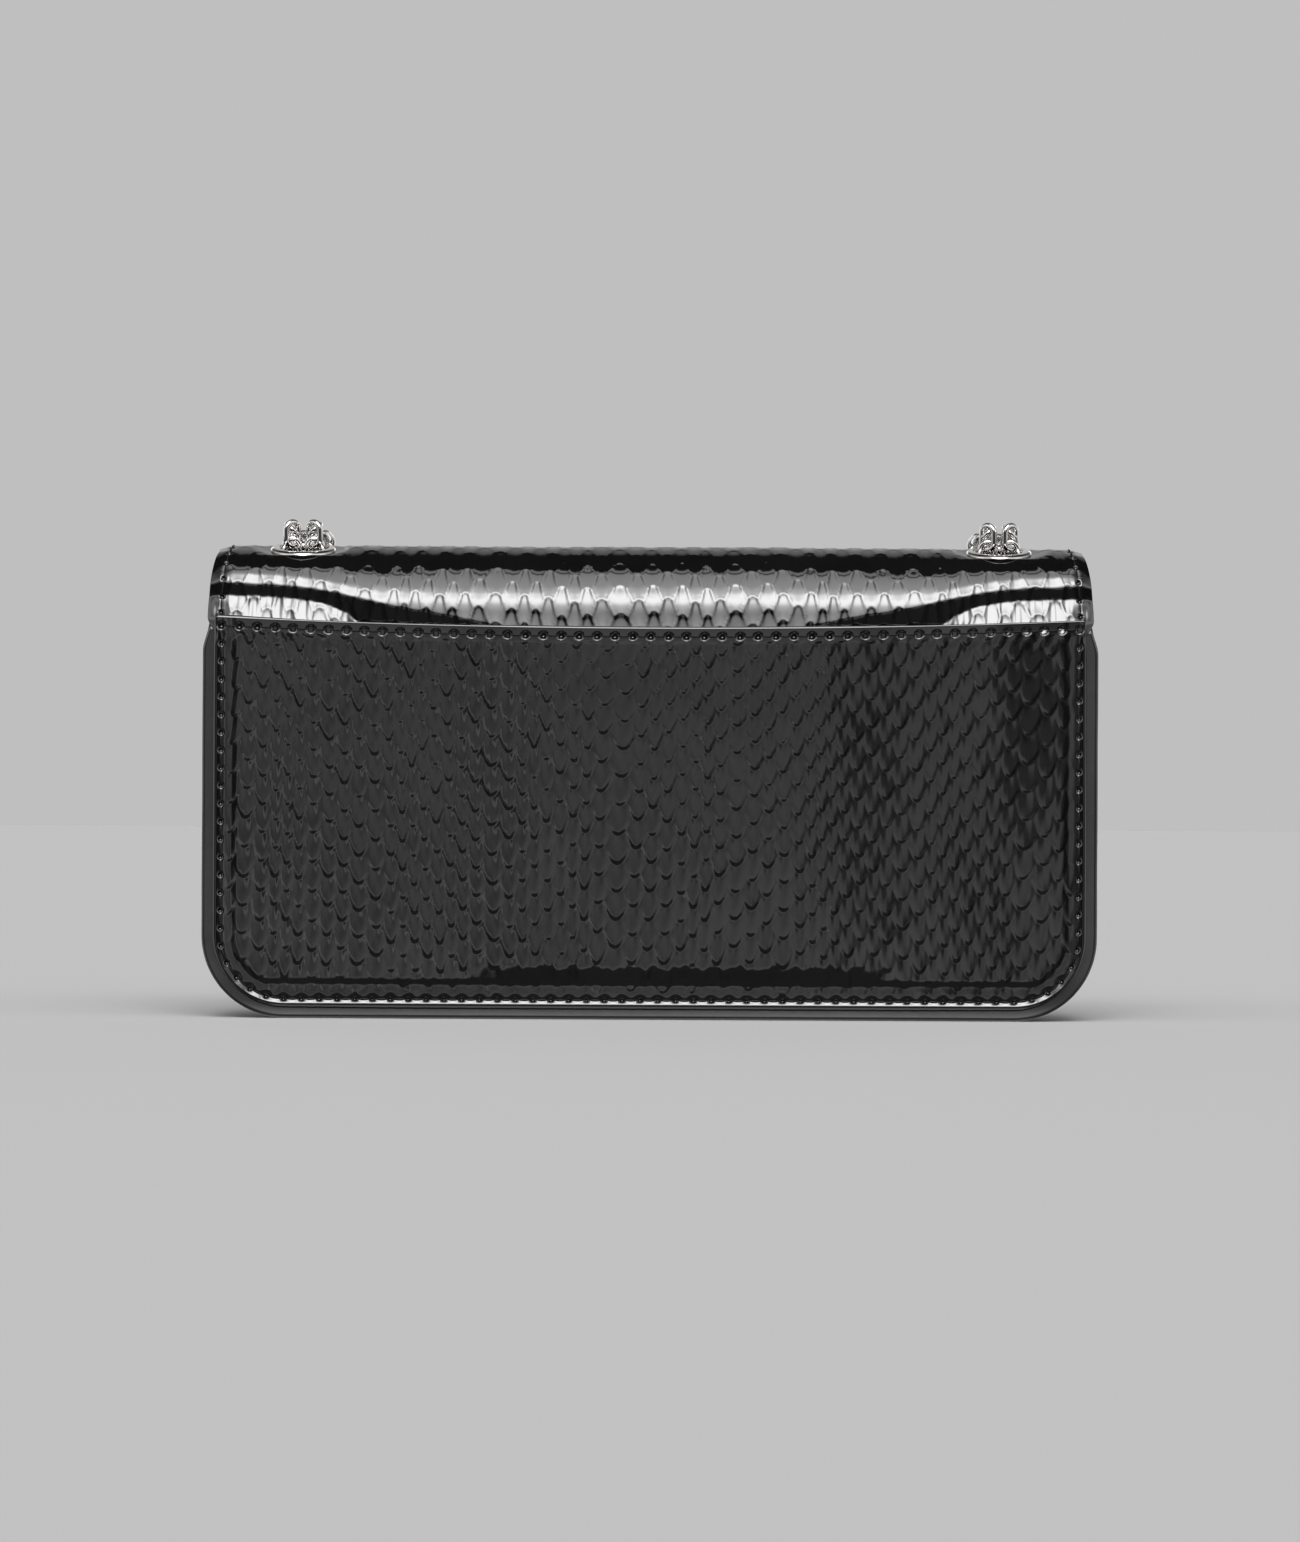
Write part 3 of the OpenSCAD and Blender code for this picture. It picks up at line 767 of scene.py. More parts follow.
def build_front():
    rows = both_edges(FRONT_L, EDGE_ZONE, 0.42, 0.6)
    cols = both_edges(2 * PANEL_HALF, EDGE_ZONE, 0.42, 0.6)
    place = upright(-FACE_Y, -1.0, FRONT_H)
    side_holes, top_holes = panel_seams(FRONT_L)

    def outer(x, s):
        mask = panel_mask(panel_edge(x, s, FRONT_L), s) * ramp(6, 9, snap_distance(x, s))
        holes = pits(x, s, side_holes) + pits(x, s, top_holes)
        return front_base(x, s) + mask * scales(x, s, **PANEL_SCALES) + holes

    grid = panel_grid(FRONT_L, rows, cols)
    skin = leather("front_leather", grid, place, outer, level(-LEATHER_T), SKIN)
    seams = thread("front_stitches", [side_holes, top_holes], place, front_base, [THREAD])
    belongs(skin, "bag", "front_panel")
    belongs(seams, "bag")


# Gusset


def u_path(inset, top, steps=26, straight=30):
    """Points and outward normals (x, z) of the bag's outline, inset, from one top to the other."""
    r = CORNER_R - inset
    flat_x = BAG_W / 2 - CORNER_R
    points, outs = [], []
    for z in np.linspace(top, CORNER_R, straight)[:-1]:
        points.append((BAG_W / 2 - inset, z))
        outs.append((1, 0))
    for a in np.radians(np.linspace(0, 90, steps)):
        points.append((flat_x + r * math.cos(a), CORNER_R - r * math.sin(a)))
        outs.append((math.cos(a), -math.sin(a)))
    for x in np.linspace(flat_x, 0, straight)[1:]:
        points.append((x, inset))
        outs.append((0, -1))
    points, outs = np.array(points, float), np.array(outs, float)
    mirror = [-1, 1]
    return np.concatenate([points, points[-2::-1] * mirror]), np.concatenate([outs, outs[-2::-1] * mirror])


def swept(line, out, off, y):
    """Points at the distances off outwards from a line of (x, z), at y across the bag."""
    return np.stack(
        [line[:, :1] + out[:, :1] * off, np.broadcast_to(y, off.shape), line[:, 1:] + out[:, 1:] * off],
        -1,
    )


# Bend between the gusset's flat and the flange that shows beside the panels
GUSSET_BEND = 0.8


def build_gusset():
    """A channel swept round the sides and the base. Its flanges pass under the panels, and
    the middle of each side folds in a little, as a soft gusset does."""
    line, out = u_path(0, TONGUE_Z, straight=70)
    flat = FLANGE_Y - GUSSET_BEND

    def half_section(depth, bend):
        """One half of the section at a depth, from the flange's end to the last of the bend."""
        arc = np.radians(np.linspace(90, 0, 9))
        reach, face = depth + bend, FLANGE_Y - depth
        curl = [(-reach + bend * math.cos(a), face - bend + bend * math.sin(a)) for a in arc]
        return [(n, face) for n in (-9, -6, -3.1, -2.9, -reach - 0.15)] + curl

    def whole(depth, bend):
        back = half_section(depth, bend)
        last = back[-1][1]
        middle = [(-depth, y) for y in np.linspace(last, -last, 27)[1:-1]]
        return np.array(back + middle + [(n, -y) for n, y in back[::-1]], float)

    outer = whole(0.0, GUSSET_BEND)
    n, y = np.concatenate([outer, whole(LEATHER_T, 0.3)[::-1]]).T
    side = np.abs(out[:, 0])
    z = line[:, 1:]
    fold = bell(y, 7.5) * np.where(np.abs(y) < flat, 1, 0)
    sag = -1.1 * np.outer(ramp(8, 70, line[:, 1]) * side, fold)
    crease = waves(line[:, :1] * 0.2 + z, y[None], ((0.10, 0.2, 0.12, 0.4), (0.03, 0.4, -0.2, 1.7)))
    crease = crease * side[:, None] * bell(y, 10)[None]
    # The ends narrow to tongues, drawn in under the flap
    narrow = ramp(FRONT_H + 1, FRONT_H + 4.5, z) * side[:, None]
    tongue = np.where(
        np.abs(y) > TONGUE_R, np.sign(y) * (TONGUE_R + (np.abs(y) - TONGUE_R) * 0.2), y
    )
    drawn_in = ramp(90, 97, z) * side[:, None] * (0.7 + 0.8 * ramp(4, 11, np.abs(y)))[None]
    off = n[None] + sag + crease - 0.35 * narrow - drawn_in
    # Under the base, the flanges stand out beside the panels
    under = np.clip(-out[:, 1:], 0, 1)
    proud = 0.13 * np.clip(3 + n, 0, 2.2)[None] * under * (np.abs(y) > flat)[None]
    across = y[None] * (1 - narrow) + tongue[None] * narrow + np.sign(y)[None] * proud
    verts = swept(line, out, off, across)
    index = np.arange(verts.shape[0] * verts.shape[1]).reshape(verts.shape[:2])
    faces = quads(index, wrap_cols=True).tolist()
    for row in (index[0], index[-1]):
        for i in range(len(outer) - 1):
            faces.append([int(row[i]), int(row[i + 1]), int(row[-2 - i]), int(row[-1 - i])])
    skin = piece("gusset_leather", verts.reshape(-1, 3), faces, [SMOOTH])
    belongs(skin, "bag", "gusset")


# Flap


def flap_profile():
    """The flap's outer line as points (y, z) with even steps, from the tail tucked behind the
    pocket, over the mouth and down the front, and the line's length."""
    step = 0.25
    # Lean in degrees where the tail leaves the roll and 5 mm on, and where it comes upright
    leave, settled = 19.3, 7.0
    tail_top, tail_low = 96.2, 93.5
    circle = [
        (ROLL_Y + ROLL_R * math.cos(a), ROLL_Z + ROLL_R * math.sin(a))
        for a in np.linspace(math.radians(leave), math.pi, 260)
    ]
    y, z = circle[0]
    tail = []
    while z > TAIL_Z + 0.1:
        lean = leave + (settled - leave) * float(ramp(0, 4.8, step * len(tail)))
        if z < tail_top:
            lean = settled * float(ramp(tail_low, tail_top, z)) - 1.0
        lean = math.radians(lean)
        y, z = y + math.sin(lean) * step, z - math.cos(lean) * step
        tail.append((y, z))
    front_y = ROLL_Y - ROLL_R
    front = [(front_y, z) for z in np.arange(ROLL_Z - 1, FLAP_BOTTOM, -1.0)] + [(front_y, FLAP_BOTTOM)]
    line = np.array(tail[::-1] + circle + front)
    length = np.linalg.norm(np.diff(line, axis=0), axis=1).sum()
    return resample(line, int(length / step) + 1), length


FLAP_LINE, FLAP_L = flap_profile()
FLAP_RUN = np.linspace(0, FLAP_L, len(FLAP_LINE))
FLAP_HALF = 107.1
FLAP_SEAM = 3.7
# How much wider the back of the roll grows on each side, and how far the tail draws in again
FLARE = 2.2
TUCK = 2.9


def flap_place(x, s):
    y, z = (np.interp(s, FLAP_RUN, FLAP_LINE[:, i]) for i in (0, 1))
    slope = unit(np.gradient(FLAP_LINE, axis=0))
    ty, tz = (np.interp(s, FLAP_RUN, slope[:, i]) for i in (0, 1))
    down = unit(np.stack([np.zeros(x.shape), ty, tz], -1))
    normal = np.stack([np.zeros(x.shape), down[..., 2], -down[..., 1]], -1)
    fall = np.clip((BAG_H - z) / 18.5, 0, 1)
    spread = FLARE * (1 - (1 - fall) ** 2) - TUCK * ramp(98.6, 92.6, z)
    flare = 1 + spread / FLAP_HALF * ramp(-2, 8, y)
    point = np.stack([x * flare, y, z], -1)
    return point, normal, np.broadcast_to([1.0, 0.0, 0.0], point.shape), down


CREST_S = FLAP_RUN[np.argmax(FLAP_LINE[:, 1])]
EYELET_S = float(CREST_S - ROLL_R * EYELET_TILT)
OPENING_R = 6.5
FLAP_OPENINGS = [(side * EYELET_X, EYELET_S, OPENING_R) for side in (-1, 1)]


def flap_seat(x, s):
    """Height that flattens the leather under the eyelets, and its weight."""
    height, weight = np.zeros(x.shape), np.zeros(x.shape)
    for ex, es, _ in FLAP_OPENINGS:
        turn = np.clip((s - es) / ROLL_R, -1.0, 1.0)
        r = np.hypot(x - ex, SEAT_H * np.tan(turn))
        flat = np.minimum(SEAT_H / np.cos(turn) - ROLL_R, 0.35)
        w = 1 - ramp(SEAT_R - 1.2, SEAT_R + 4.5, r)
        height, weight = height + flat * w, weight + w
    return height, weight


# Height at which the flap's back starts to face down, by the distance from the bag's middle
FOLD_LINE = (
    (0, 88), (24, 91), (34, 94.8), (40, 96.8), (50, 98.9), (59, 100.3), (67, 102), (74, 103.6),
    (82, 105.1), (90, 105.9), (104, 106.4), (112, 106.5),
)
# Slopes from upright, in degrees: just above that height, below it, and past the crease
FOLD_OVER = 18.5
FOLD_DOWN = -8.0
FOLD_UP = 17.0
# How far below that height the leather turns out again
FOLD_DEPTH = ((0, 8), (66, 8), (73, 3.9), (78, 2.6), (85, 2.2), (112, 2.2))


def fold_table():
    """Near its ends the flap's back swells below the crest, is drawn in under the roll and
    turns out again at a crease. This gives each column's aim for its slope, from the crest
    down, and adds the slopes up to offsets from the plain roll."""
    ax = np.linspace(0, 112, 225)
    count = int(np.searchsorted(FLAP_RUN, CREST_S))
    run, z = FLAP_RUN[:count], FLAP_LINE[:count, 1]
    ahead = np.gradient(FLAP_LINE, axis=0)[:count]
    facing = np.degrees(np.arctan2(ahead[:, 0] * -1, ahead[:, 1]))[None]
    above = z[None] - np.interp(ax, *np.array(FOLD_LINE, float).T)[:, None]
    over, under = ramp(3.0, 2.0, above), ramp(0.7, -0.4, above)
    aim = facing * (1 - over) + np.minimum(facing, FOLD_OVER) * over
    aim = aim * (1 - under) + FOLD_DOWN * under
    jag = 0.08 * np.sin(2.9 * ax + 1.3 * np.sin(0.9 * ax)) + 0.06 * np.sin(5.3 * ax)
    crease = above + np.interp(ax, *np.array(FOLD_DEPTH, float).T)[:, None] + jag[:, None]
    out = ramp(0.25, -0.25, crease)
    aim = aim * (1 - out) + FOLD_UP * out
    aim = aim + 5.0 * bell(above - 8.0, 2.4) * ramp(40, 80, ax)[:, None]
    slope = np.tan(np.radians(aim - facing)) * ramp(26, 44, ax)[:, None]
    slope = slope * ramp(CREST_S, CREST_S - 4, run)[None]
    offset = np.cumsum((slope * (run[1] - run[0]))[:, ::-1], axis=1)[:, ::-1]
    return ax, run, offset * ramp(93.4, 97.4, z)[None]


FOLD_X, FOLD_RUN, FOLD_OFFSET = fold_table()


def flap_fold(x, s):
    """fold_table's offset at each point."""
    column = np.clip(np.abs(x), 0, FOLD_X[-1] - 1e-6) / (FOLD_X[1] - FOLD_X[0])
    row = np.clip(s / (FOLD_RUN[1] - FOLD_RUN[0]), 0, len(FOLD_RUN) - 1.001)
    i, j = column.astype(int), row.astype(int)
    a, b = column - i, row - j
    near, far = (FOLD_OFFSET[k, j] * (1 - b) + FOLD_OFFSET[k, j + 1] * b for k in (i, i + 1))
    return (near * (1 - a) + far * a) * np.where(s < FOLD_RUN[-1], 1, 0)


def flap_base(x, s):
    """The flap without its scales and stitch holes: seats of the eyelets, belly of the front,
    slow waves, the hem's bevel and pleats, and the fold behind."""
    d = edge_distance(x, s, FLAP_HALF, FLAP_CORNER_R, FLAP_L)
    in_front = ramp(-17, -20.5, np.interp(s, FLAP_RUN, FLAP_LINE[:, 0]))
    seat, weight = flap_seat(x, s)
    belly = 0.5 * in_front * ramp(5, 34, np.minimum(d, FLAP_L - s)) * ramp(0, 30, s - CREST_S)
    slow = waves(x, s, ((0.07, 0.06, 0.07, 0.2), (0.03, 0.17, -0.05, 1.4), (0.02, 0.31, 0.11, 0.6)))
    slow = slow * ramp(5, 20, d) * (1 - weight)
    hem = -0.1 * ramp(7, 4.4, d) - 1.05 * np.clip(1 - d / FLAP_SEAM, 0, 1) ** 1.1
    pleats = np.sin(s * 1.23 + 1.1 + 0.9 * np.sin(s * 0.37)) * bell(d - 3.4, 1.7)
    behind = 0.25 + 0.75 * ramp(CREST_S + 2, CREST_S - 14, s)
    pucker = 0.13 * pleats * ramp(0, 6, s) * behind
    sunk = flap_fold(x, s) * (1 - weight)
    return seat + belly + slow + hem + pucker + sunk + seam_height(d - FLAP_SEAM, 0.14)


def build_flap():
    # Cells are fine on the back of the roll, which the photo shows, and coarser in front
    rows = (
        (0, 0.26), (CREST_S - 4, 0.26), (CREST_S + 6, 0.7), (FLAP_L - 7, 0.7), (FLAP_L - 5, 0.5)
    )
    lining_inset, board_inset, clear = 1.4, 2.6, 0.02
    cols = both_edges(2 * FLAP_HALF, 6, 0.32, 0.36)

    def grid(inset, top, row_cells, col_cells, coarse):
        half, corner = FLAP_HALF - inset, FLAP_CORNER_R - inset
        return sheet_grid(half, corner, top, FLAP_L - inset, row_cells, col_cells, coarse)

    def layer(depth):
        """Height of a layer this far under the flap's outer surface."""

        def height(x, s):
            seat, weight = flap_seat(x, s)
            return seat + flap_fold(x, s) * (1 - weight) - depth

        return height

    def outer(x, s):
        """flap_base with its scales, which leave the seams and the eyelets' seats smooth."""
        d = edge_distance(x, s, FLAP_HALF, FLAP_CORNER_R, FLAP_L)
        _, weight = flap_seat(x, s)
        mask = ramp(FLAP_SEAM + 0.8, FLAP_SEAM + 2.4, d) * (1 - ramp(0.3, 1, weight))
        front = ramp(CREST_S + 1, CREST_S + 7, s)
        relief = front * scales(x, s, **FLAP_LATTICE, **FLAP_FRONT)
        roll = scales(x, s, **FLAP_LATTICE, **FLAP_ROLL) - 0.1
        return flap_base(x, s) + mask * (relief + (1 - front) * roll) + pits(x, s, holes)

    lining_outer = layer(FLAP_T - FLAP_LINING_T + clear)

    def lining_inner(x, s):
        half, length = FLAP_HALF - lining_inset, FLAP_L - lining_inset
        d = edge_distance(x, s, half, FLAP_CORNER_R, length)
        ripple = waves(x, s, ((0.06, 0.11, 0.2, 0.4), (0.04, 0.27, -0.13, 1.2))) * ramp(4, 12, d)
        return lining_outer(x, s) - FLAP_LINING_T + ripple * 0.6 + 0.18 * bell(d - 3.0, 0.8)

    holes = u_seam(FLAP_HALF, FLAP_CORNER_R, 3.0, FLAP_L, FLAP_SEAM)

    def cross_fold(obj, node=None):
        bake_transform(obj)
        if node:
            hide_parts(node)

    def sheet(name, cells, over, under, mats, coarse, node):
        obj = leather(name, cells, flap_place, over, under, mats, coarse, FLAP_OPENINGS)
        cross_fold(obj, node)

    half_t = FLAP_LEATHER_T / 2
    sheet(
        "flap_leather_skin", grid(half_t, half_t, rows, cols, 4), outer, layer(FLAP_LEATHER_T),
        SKIN, 4, "flap_leather",
    )
    seams = thread("flap_stitches", [holes], flap_place, flap_base, [THREAD])
    cross_fold(seams)
    sheet(
        "flap_lining_skin", grid(lining_inset, 4.5, 1.5, 1.5, 1), lining_outer, lining_inner,
        [FLAP_LINING] * 3, 1, "flap_lining",
    )
    sheet(
        "flap_board_sheet", grid(board_inset, 5.5, 2.0, 2.0, 1), layer(FLAP_LEATHER_T + clear),
        layer(FLAP_T - FLAP_LINING_T), [BOARD] * 3, 1, "flap_board",
    )


# Lining and inner pocket

LINING_INSET = 3.0


def lining_sheet(node, top_z, y, facing):
    """A hanging sheet of lining cloth with a turned upper edge."""
    length, thick = top_z - LINING_INSET, 0.55
    half, corner = BAG_W / 2 - LINING_INSET, CORNER_R - LINING_INSET
    grid = sheet_grid(half - thick / 2, corner, thick / 2, length - thick / 2, 2.0, 2.0, 1)

    def outer(x, s):
        d = np.minimum(edge_distance(x, s, half, corner, length), s)
        hem = 0.25 * ramp(9, 7.5, s) * ramp(-1, 1, s)
        slack = waves(x, s, ((0.16, 0.05, 0.03, 0.7), (0.1, 0.12, 0.05, 2.1), (0.06, 0.3, 0.08, 0.3)))
        return 0.8 * slack * ramp(2, 14, d) + hem * 0.5

    def inner(x, s):
        return outer(x, s) - thick

    place = upright(y, facing, top_z)
    obj = leather(f"{node}_cloth", grid, place, outer, inner, [LINING] * 3, coarse=1)
    belongs(obj, "bag", node)


def build_lining():
    lining_sheet("lining_back", BACK_H, LINING_FACE, -1.0)
    lining_sheet("lining_front", FRONT_H, -LINING_FACE, 1.0)
    line, out = u_path(LINING_INSET, FRONT_H - 0.4, 16, 34)
    across = np.linspace(-LINING_FACE, LINING_FACE, 21)
    slack = ((0.14, 0.14, 0.2, 0.4), (0.09, 0.33, -0.15, 1.9))
    wavy = waves(line[:, :1] + line[:, 1:] * 1.3, across[None], slack)
    wavy = wavy * bell(across, 9)[None] - 0.35
    layers = [swept(line, out, wavy + depth, across) for depth in (0.0, -LINING_T)]
    verts = np.concatenate([layers[0], layers[1][:, ::-1]], axis=1)
    index = np.arange(verts.shape[0] * verts.shape[1]).reshape(verts.shape[:2])
    faces = quads(index, wrap_cols=True).tolist() + [index[0].tolist(), index[-1].tolist()]
    obj = piece("lining_gusset_cloth", verts.reshape(-1, 3), faces, [LINING])
    belongs(obj, "bag", "lining_gusset")


INNER_W, INNER_H, INNER_Z = 150.0, 62.0, 22.0


def build_inner_pocket():
    half, corner, seam = INNER_W / 2, 6.0, 2.0

    def edge(x, s):
        return np.minimum(half - np.abs(x), INNER_H - s)

    def gape(x, s):
        loose = 0.5 * ramp(2, 20, edge(x, s)) * (0.5 + 0.5 * ramp(40, 0, s))
        return (loose + 0.05 * np.sin(0.2 * x + 0.1 * s)) * 0.9

    def outer(x, s):
        band = 0.3 * ramp(7.4, 6.4, s)
        return gape(x, s) + band + seam_height(edge(x, s) - seam, 0.12, 0.5)

    def inner(x, s):
        return gape(x, s) - 0.5

    grid = sheet_grid(half - 0.3, corner, 0.3, INNER_H - 0.3, 1.5, 1.5, 1)
    place = upright(LINING_FACE - LINING_T, -1.0, INNER_Z + INNER_H)
    holes = u_seam(half, corner, 2.5, INNER_H, seam)
    rim = line_seam((seam - half, 5.0), (half - seam, 5.0))
    cloth = leather("inner_pocket_cloth", grid, place, outer, inner, [LINING] * 3, coarse=1)
    seams = thread("inner_pocket_stitches", [holes, rim], place, outer, [THREAD], 0.12, 0.25)
    belongs(cloth, "bag", "inner_pocket")
    belongs(seams, "bag")


# Metal


def seat_matrix(side):
    """Frame of an eyelet: z points out along its bore, from the roll's axis."""
    return Matrix.Translation((side * EYELET_X, ROLL_Y, ROLL_Z)) @ Matrix.Rotation(-EYELET_TILT, 4, "X")


def snap_matrix(y):
    """z points forwards from a face at y."""
    return Matrix.Translation((0, y, SNAP_Z)) @ Matrix.Rotation(math.pi / 2, 4, "X")


def build_eyelets():
    rim_h, rim_out, rim_in = 0.9, 1.3, 1.2
    washer_t = 0.8
    under, low = SEAT_H - FLAP_T, SEAT_H - FLAP_T - washer_t
    rim = [
        (EYELET_R - rim_out + rim_out * math.cos(a), SEAT_H + rim_h * math.sin(a))
        for a in np.radians(np.linspace(0, 90, 10))
    ]
    rim += [
        (EYELET_HOLE_R + rim_in - rim_in * math.cos(a), SEAT_H + rim_h * math.sin(a))
        for a in np.radians(np.linspace(90, 20, 9))
    ]
    barrel_r, washer_r = EYELET_HOLE_R + 0.5, EYELET_HOLE_R + 0.56
    rim += [(EYELET_HOLE_R, SEAT_H - 0.2), (EYELET_HOLE_R, low), (barrel_r, low)]
    rim += [(barrel_r, SEAT_H - 0.02), (EYELET_R, SEAT_H - 0.02)]
    washer = [(washer_r, under), (EYELET_R, under), (EYELET_R, low), (washer_r, low)]
    washer = rounded(washer, 0.3)
    for side, name in ((-1, "left"), (1, "right")):
        for kind, profile, node in (
            ("eyelet", rim, f"eyelet_{name}"),
            ("washer", washer, f"eyelet_washer_{name}"),
        ):
            obj = lathe(f"{kind}_{name}_turned", profile, seat_matrix(side), [SILVER], 96)
            belongs(obj, "flap", node)


def islands(obj):
    """The centres and long, wide and thin axes of a CAD node's separate links."""
    co = np.zeros(len(obj.data.vertices) * 3)
    obj.data.vertices.foreach_get("co", co)
    co = co.reshape(-1, 3) / MM
    spots, where = np.unique(np.round(co, 3), axis=0, return_inverse=True)
    where = where.reshape(-1)
    edges = np.zeros(len(obj.data.edges) * 2, np.int64)
    obj.data.edges.foreach_get("vertices", edges)
    a, b = where[edges.reshape(-1, 2)].T
    label = np.arange(len(spots))
    while True:
        low = np.minimum(label[a], label[b])
        new = label.copy()
        np.minimum.at(new, a, low)
        np.minimum.at(new, b, low)
        new = new[new]
        if (new == label).all():
            break
        label = new
    found = []
    for one in np.unique(label):
        part = spots[label == one]
        centre = part.mean(0)
        _, _, axes = np.linalg.svd(part - centre, full_matrices=False)
        found.append((centre, axes))
    return found


def link_ring(path_steps=14, sides=12):
    """A chain link lying in XY, long along X."""
    centre = []
    for end, start in ((1, -90), (-1, 90)):
        for a in np.radians(np.linspace(start, start + 180, path_steps)):
            centre.append((end * LINK_SIDE / 2 + RING_R * math.cos(a), RING_R * math.sin(a), 0))
    centre = np.array(centre)
    ahead = unit(np.roll(centre, -1, 0) - np.roll(centre, 1, 0))
    out = np.stack([ahead[:, 1], -ahead[:, 0], ahead[:, 2]], 1)
    angle = np.arange(sides) * 2 * math.pi / sides
    ring = out[:, None] * np.cos(angle)[:, None] + np.array([0, 0, 1.0]) * np.sin(angle)[:, None]
    verts = centre[:, None] + ring * WIRE_D / 2
    index = np.arange(len(centre) * sides).reshape(len(centre), sides)
    return verts.reshape(-1, 3), quads(index, wrap_rows=True, wrap_cols=True)


# Turns about their own length of the links that show over the eyelets, the top ones of the
# lead and the first ones of the strap, opposite ways on the two strands
LEAD_TURN = math.radians(52)
FIRST_TURN = math.radians(45)
# Heights above which the centres of those links lie
LEAD_TOP_Z = 118
FIRST_Z = 120.25


def build_chain(node, body):
    ring, ring_faces = link_ring()
    verts, faces = [], []
    for i, (centre, axes) in enumerate(islands(frame["nodes"][node])):
        long, wide, thin = axes
        side = 1 if abs(centre[0]) < EYELET_X else -1
        turn = 0.0
        if abs(long[2]) > 0.9 and centre[2] > LEAD_TOP_Z:
            turn = LEAD_TURN * side
        elif abs(long[1]) > 0.99 and centre[2] > FIRST_Z:
            turn = FIRST_TURN * side
        c, n = math.cos(turn), math.sin(turn)
        verts.append(ring @ np.array([long, wide * c + thin * n, thin * c - wide * n]) + centre)
        faces.append(ring_faces + i * len(ring))
    obj = piece(f"{node}_links", np.concatenate(verts), np.concatenate(faces).tolist(), [SILVER])
    belongs(obj, body, node)


def build_snap():
    """Socket on the front panel and stud on the flap, as (radius, height) from their bases."""
    socket = (
        (0.1, 0.7), (3.2, 0.7), (3.3, 0.9), (3.3, 2.1), (3.6, 2.4),
        (6.5, 2.4), (6.9, 2.2), (7.0, 1.8), (7.0, 0.0), (0.1, 0.0),
    )
    stud = (
        (0.1, -1.35), (1.5, -1.35), (1.95, -1.15), (2.0, -0.8), (1.9, 0.0),
        (6.7, 0.0), (7.0, 0.12), (7.0, 0.5), (6.8, 0.6), (0.1, 0.6),
    )
    obj = lathe("snap_socket_turned", socket, snap_matrix(-FACE_Y), [SNAP])
    belongs(obj, "bag", "snap_socket")
    flap_gap, plate_t = 3.2, 0.6
    obj = lathe("snap_stud_turned", stud, snap_matrix(-FACE_Y - flap_gap + plate_t), [SNAP])
    belongs(obj, "flap", "snap_stud")


# Studio

# Radiance by the angle round the bag's long axis: 0 is level with the camera, 90 is overhead,
# 180 is behind the bag and -90 is under it
STUDIO = (
    (-180, 0.52), (-120, 0.55), (-90, 0.7), (-62, 0.7), (-50, 0.2), (-44, 0.06), (-6.2, 0.06),
    (-4.4, 0.52), (-0.9, 0.44), (-0.3, 0.32), (0.6, 0.33), (2.2, 0.47), (3.2, 0.33), (9, 0.33),
    (12, 1.1), (18, 2.5), (28, 5.0), (35, 9.6), (40, 10.2), (46, 5.0), (56, 2.7), (70, 2.1),
    (78.5, 1.75), (79.5, 0.15), (81, 0.15), (82, 1.5), (85, 1.25), (86, 0.02), (124, 0.02),
    (132, 0.4), (150, 0.52), (180, 0.52),
)
# Share of that by the angle to either side, and what is added to it there
SPREAD = ((0, 1.0), (9, 1.0), (17, 0.4), (25, 0.14), (60, 0.14), (75, 0.1), (90, 0.0))
FILL = ((0, 0.0), (30, 0.0), (48, 0.16), (65, 0.5), (90, 0.6))
# Extra radiance near the camera's level, by the angle towards +X
LEVEL_SIDE = (
    (-90, 0.0), (-40, -0.1), (-26, -0.2), (-12, -0.26), (-6.2, -0.26), (-4.4, -0.07), (-3.3, 0.02),
    (-2.2, 0.04), (0, 0.0), (2.2, -0.01), (3.4, -0.07), (4.4, -0.1), (5.6, -0.1), (6.3, 0.22),
    (7.2, 0.26), (8.4, -0.24), (26, -0.2), (40, -0.1), (90, 0.0),
)
# Extra radiance behind the bag, by the angle to either side, for the flap's front
FRONT_SIDE = ((0, 0.0), (7, 0.0), (12, 1.3), (30, 1.3), (42, 0.2), (90, 0.2))
# Where that at the camera's level and that behind the bag come in, by the angle round the bag
NEAR_LEVEL = ((-180, 0.0), (-7, 0.0), (-4.5, 1.0), (9, 1.0), (13, 0.0), (180, 0.0))
NEAR_FRONT = ((-180, 1.0), (-150, 1.0), (-138, 0.0), (152, 0.0), (164, 1.0), (180, 1.0))
# Radiance that a ramp's colour of 1 stands for
PEAK = 12.0
BACKDROP = 0.521


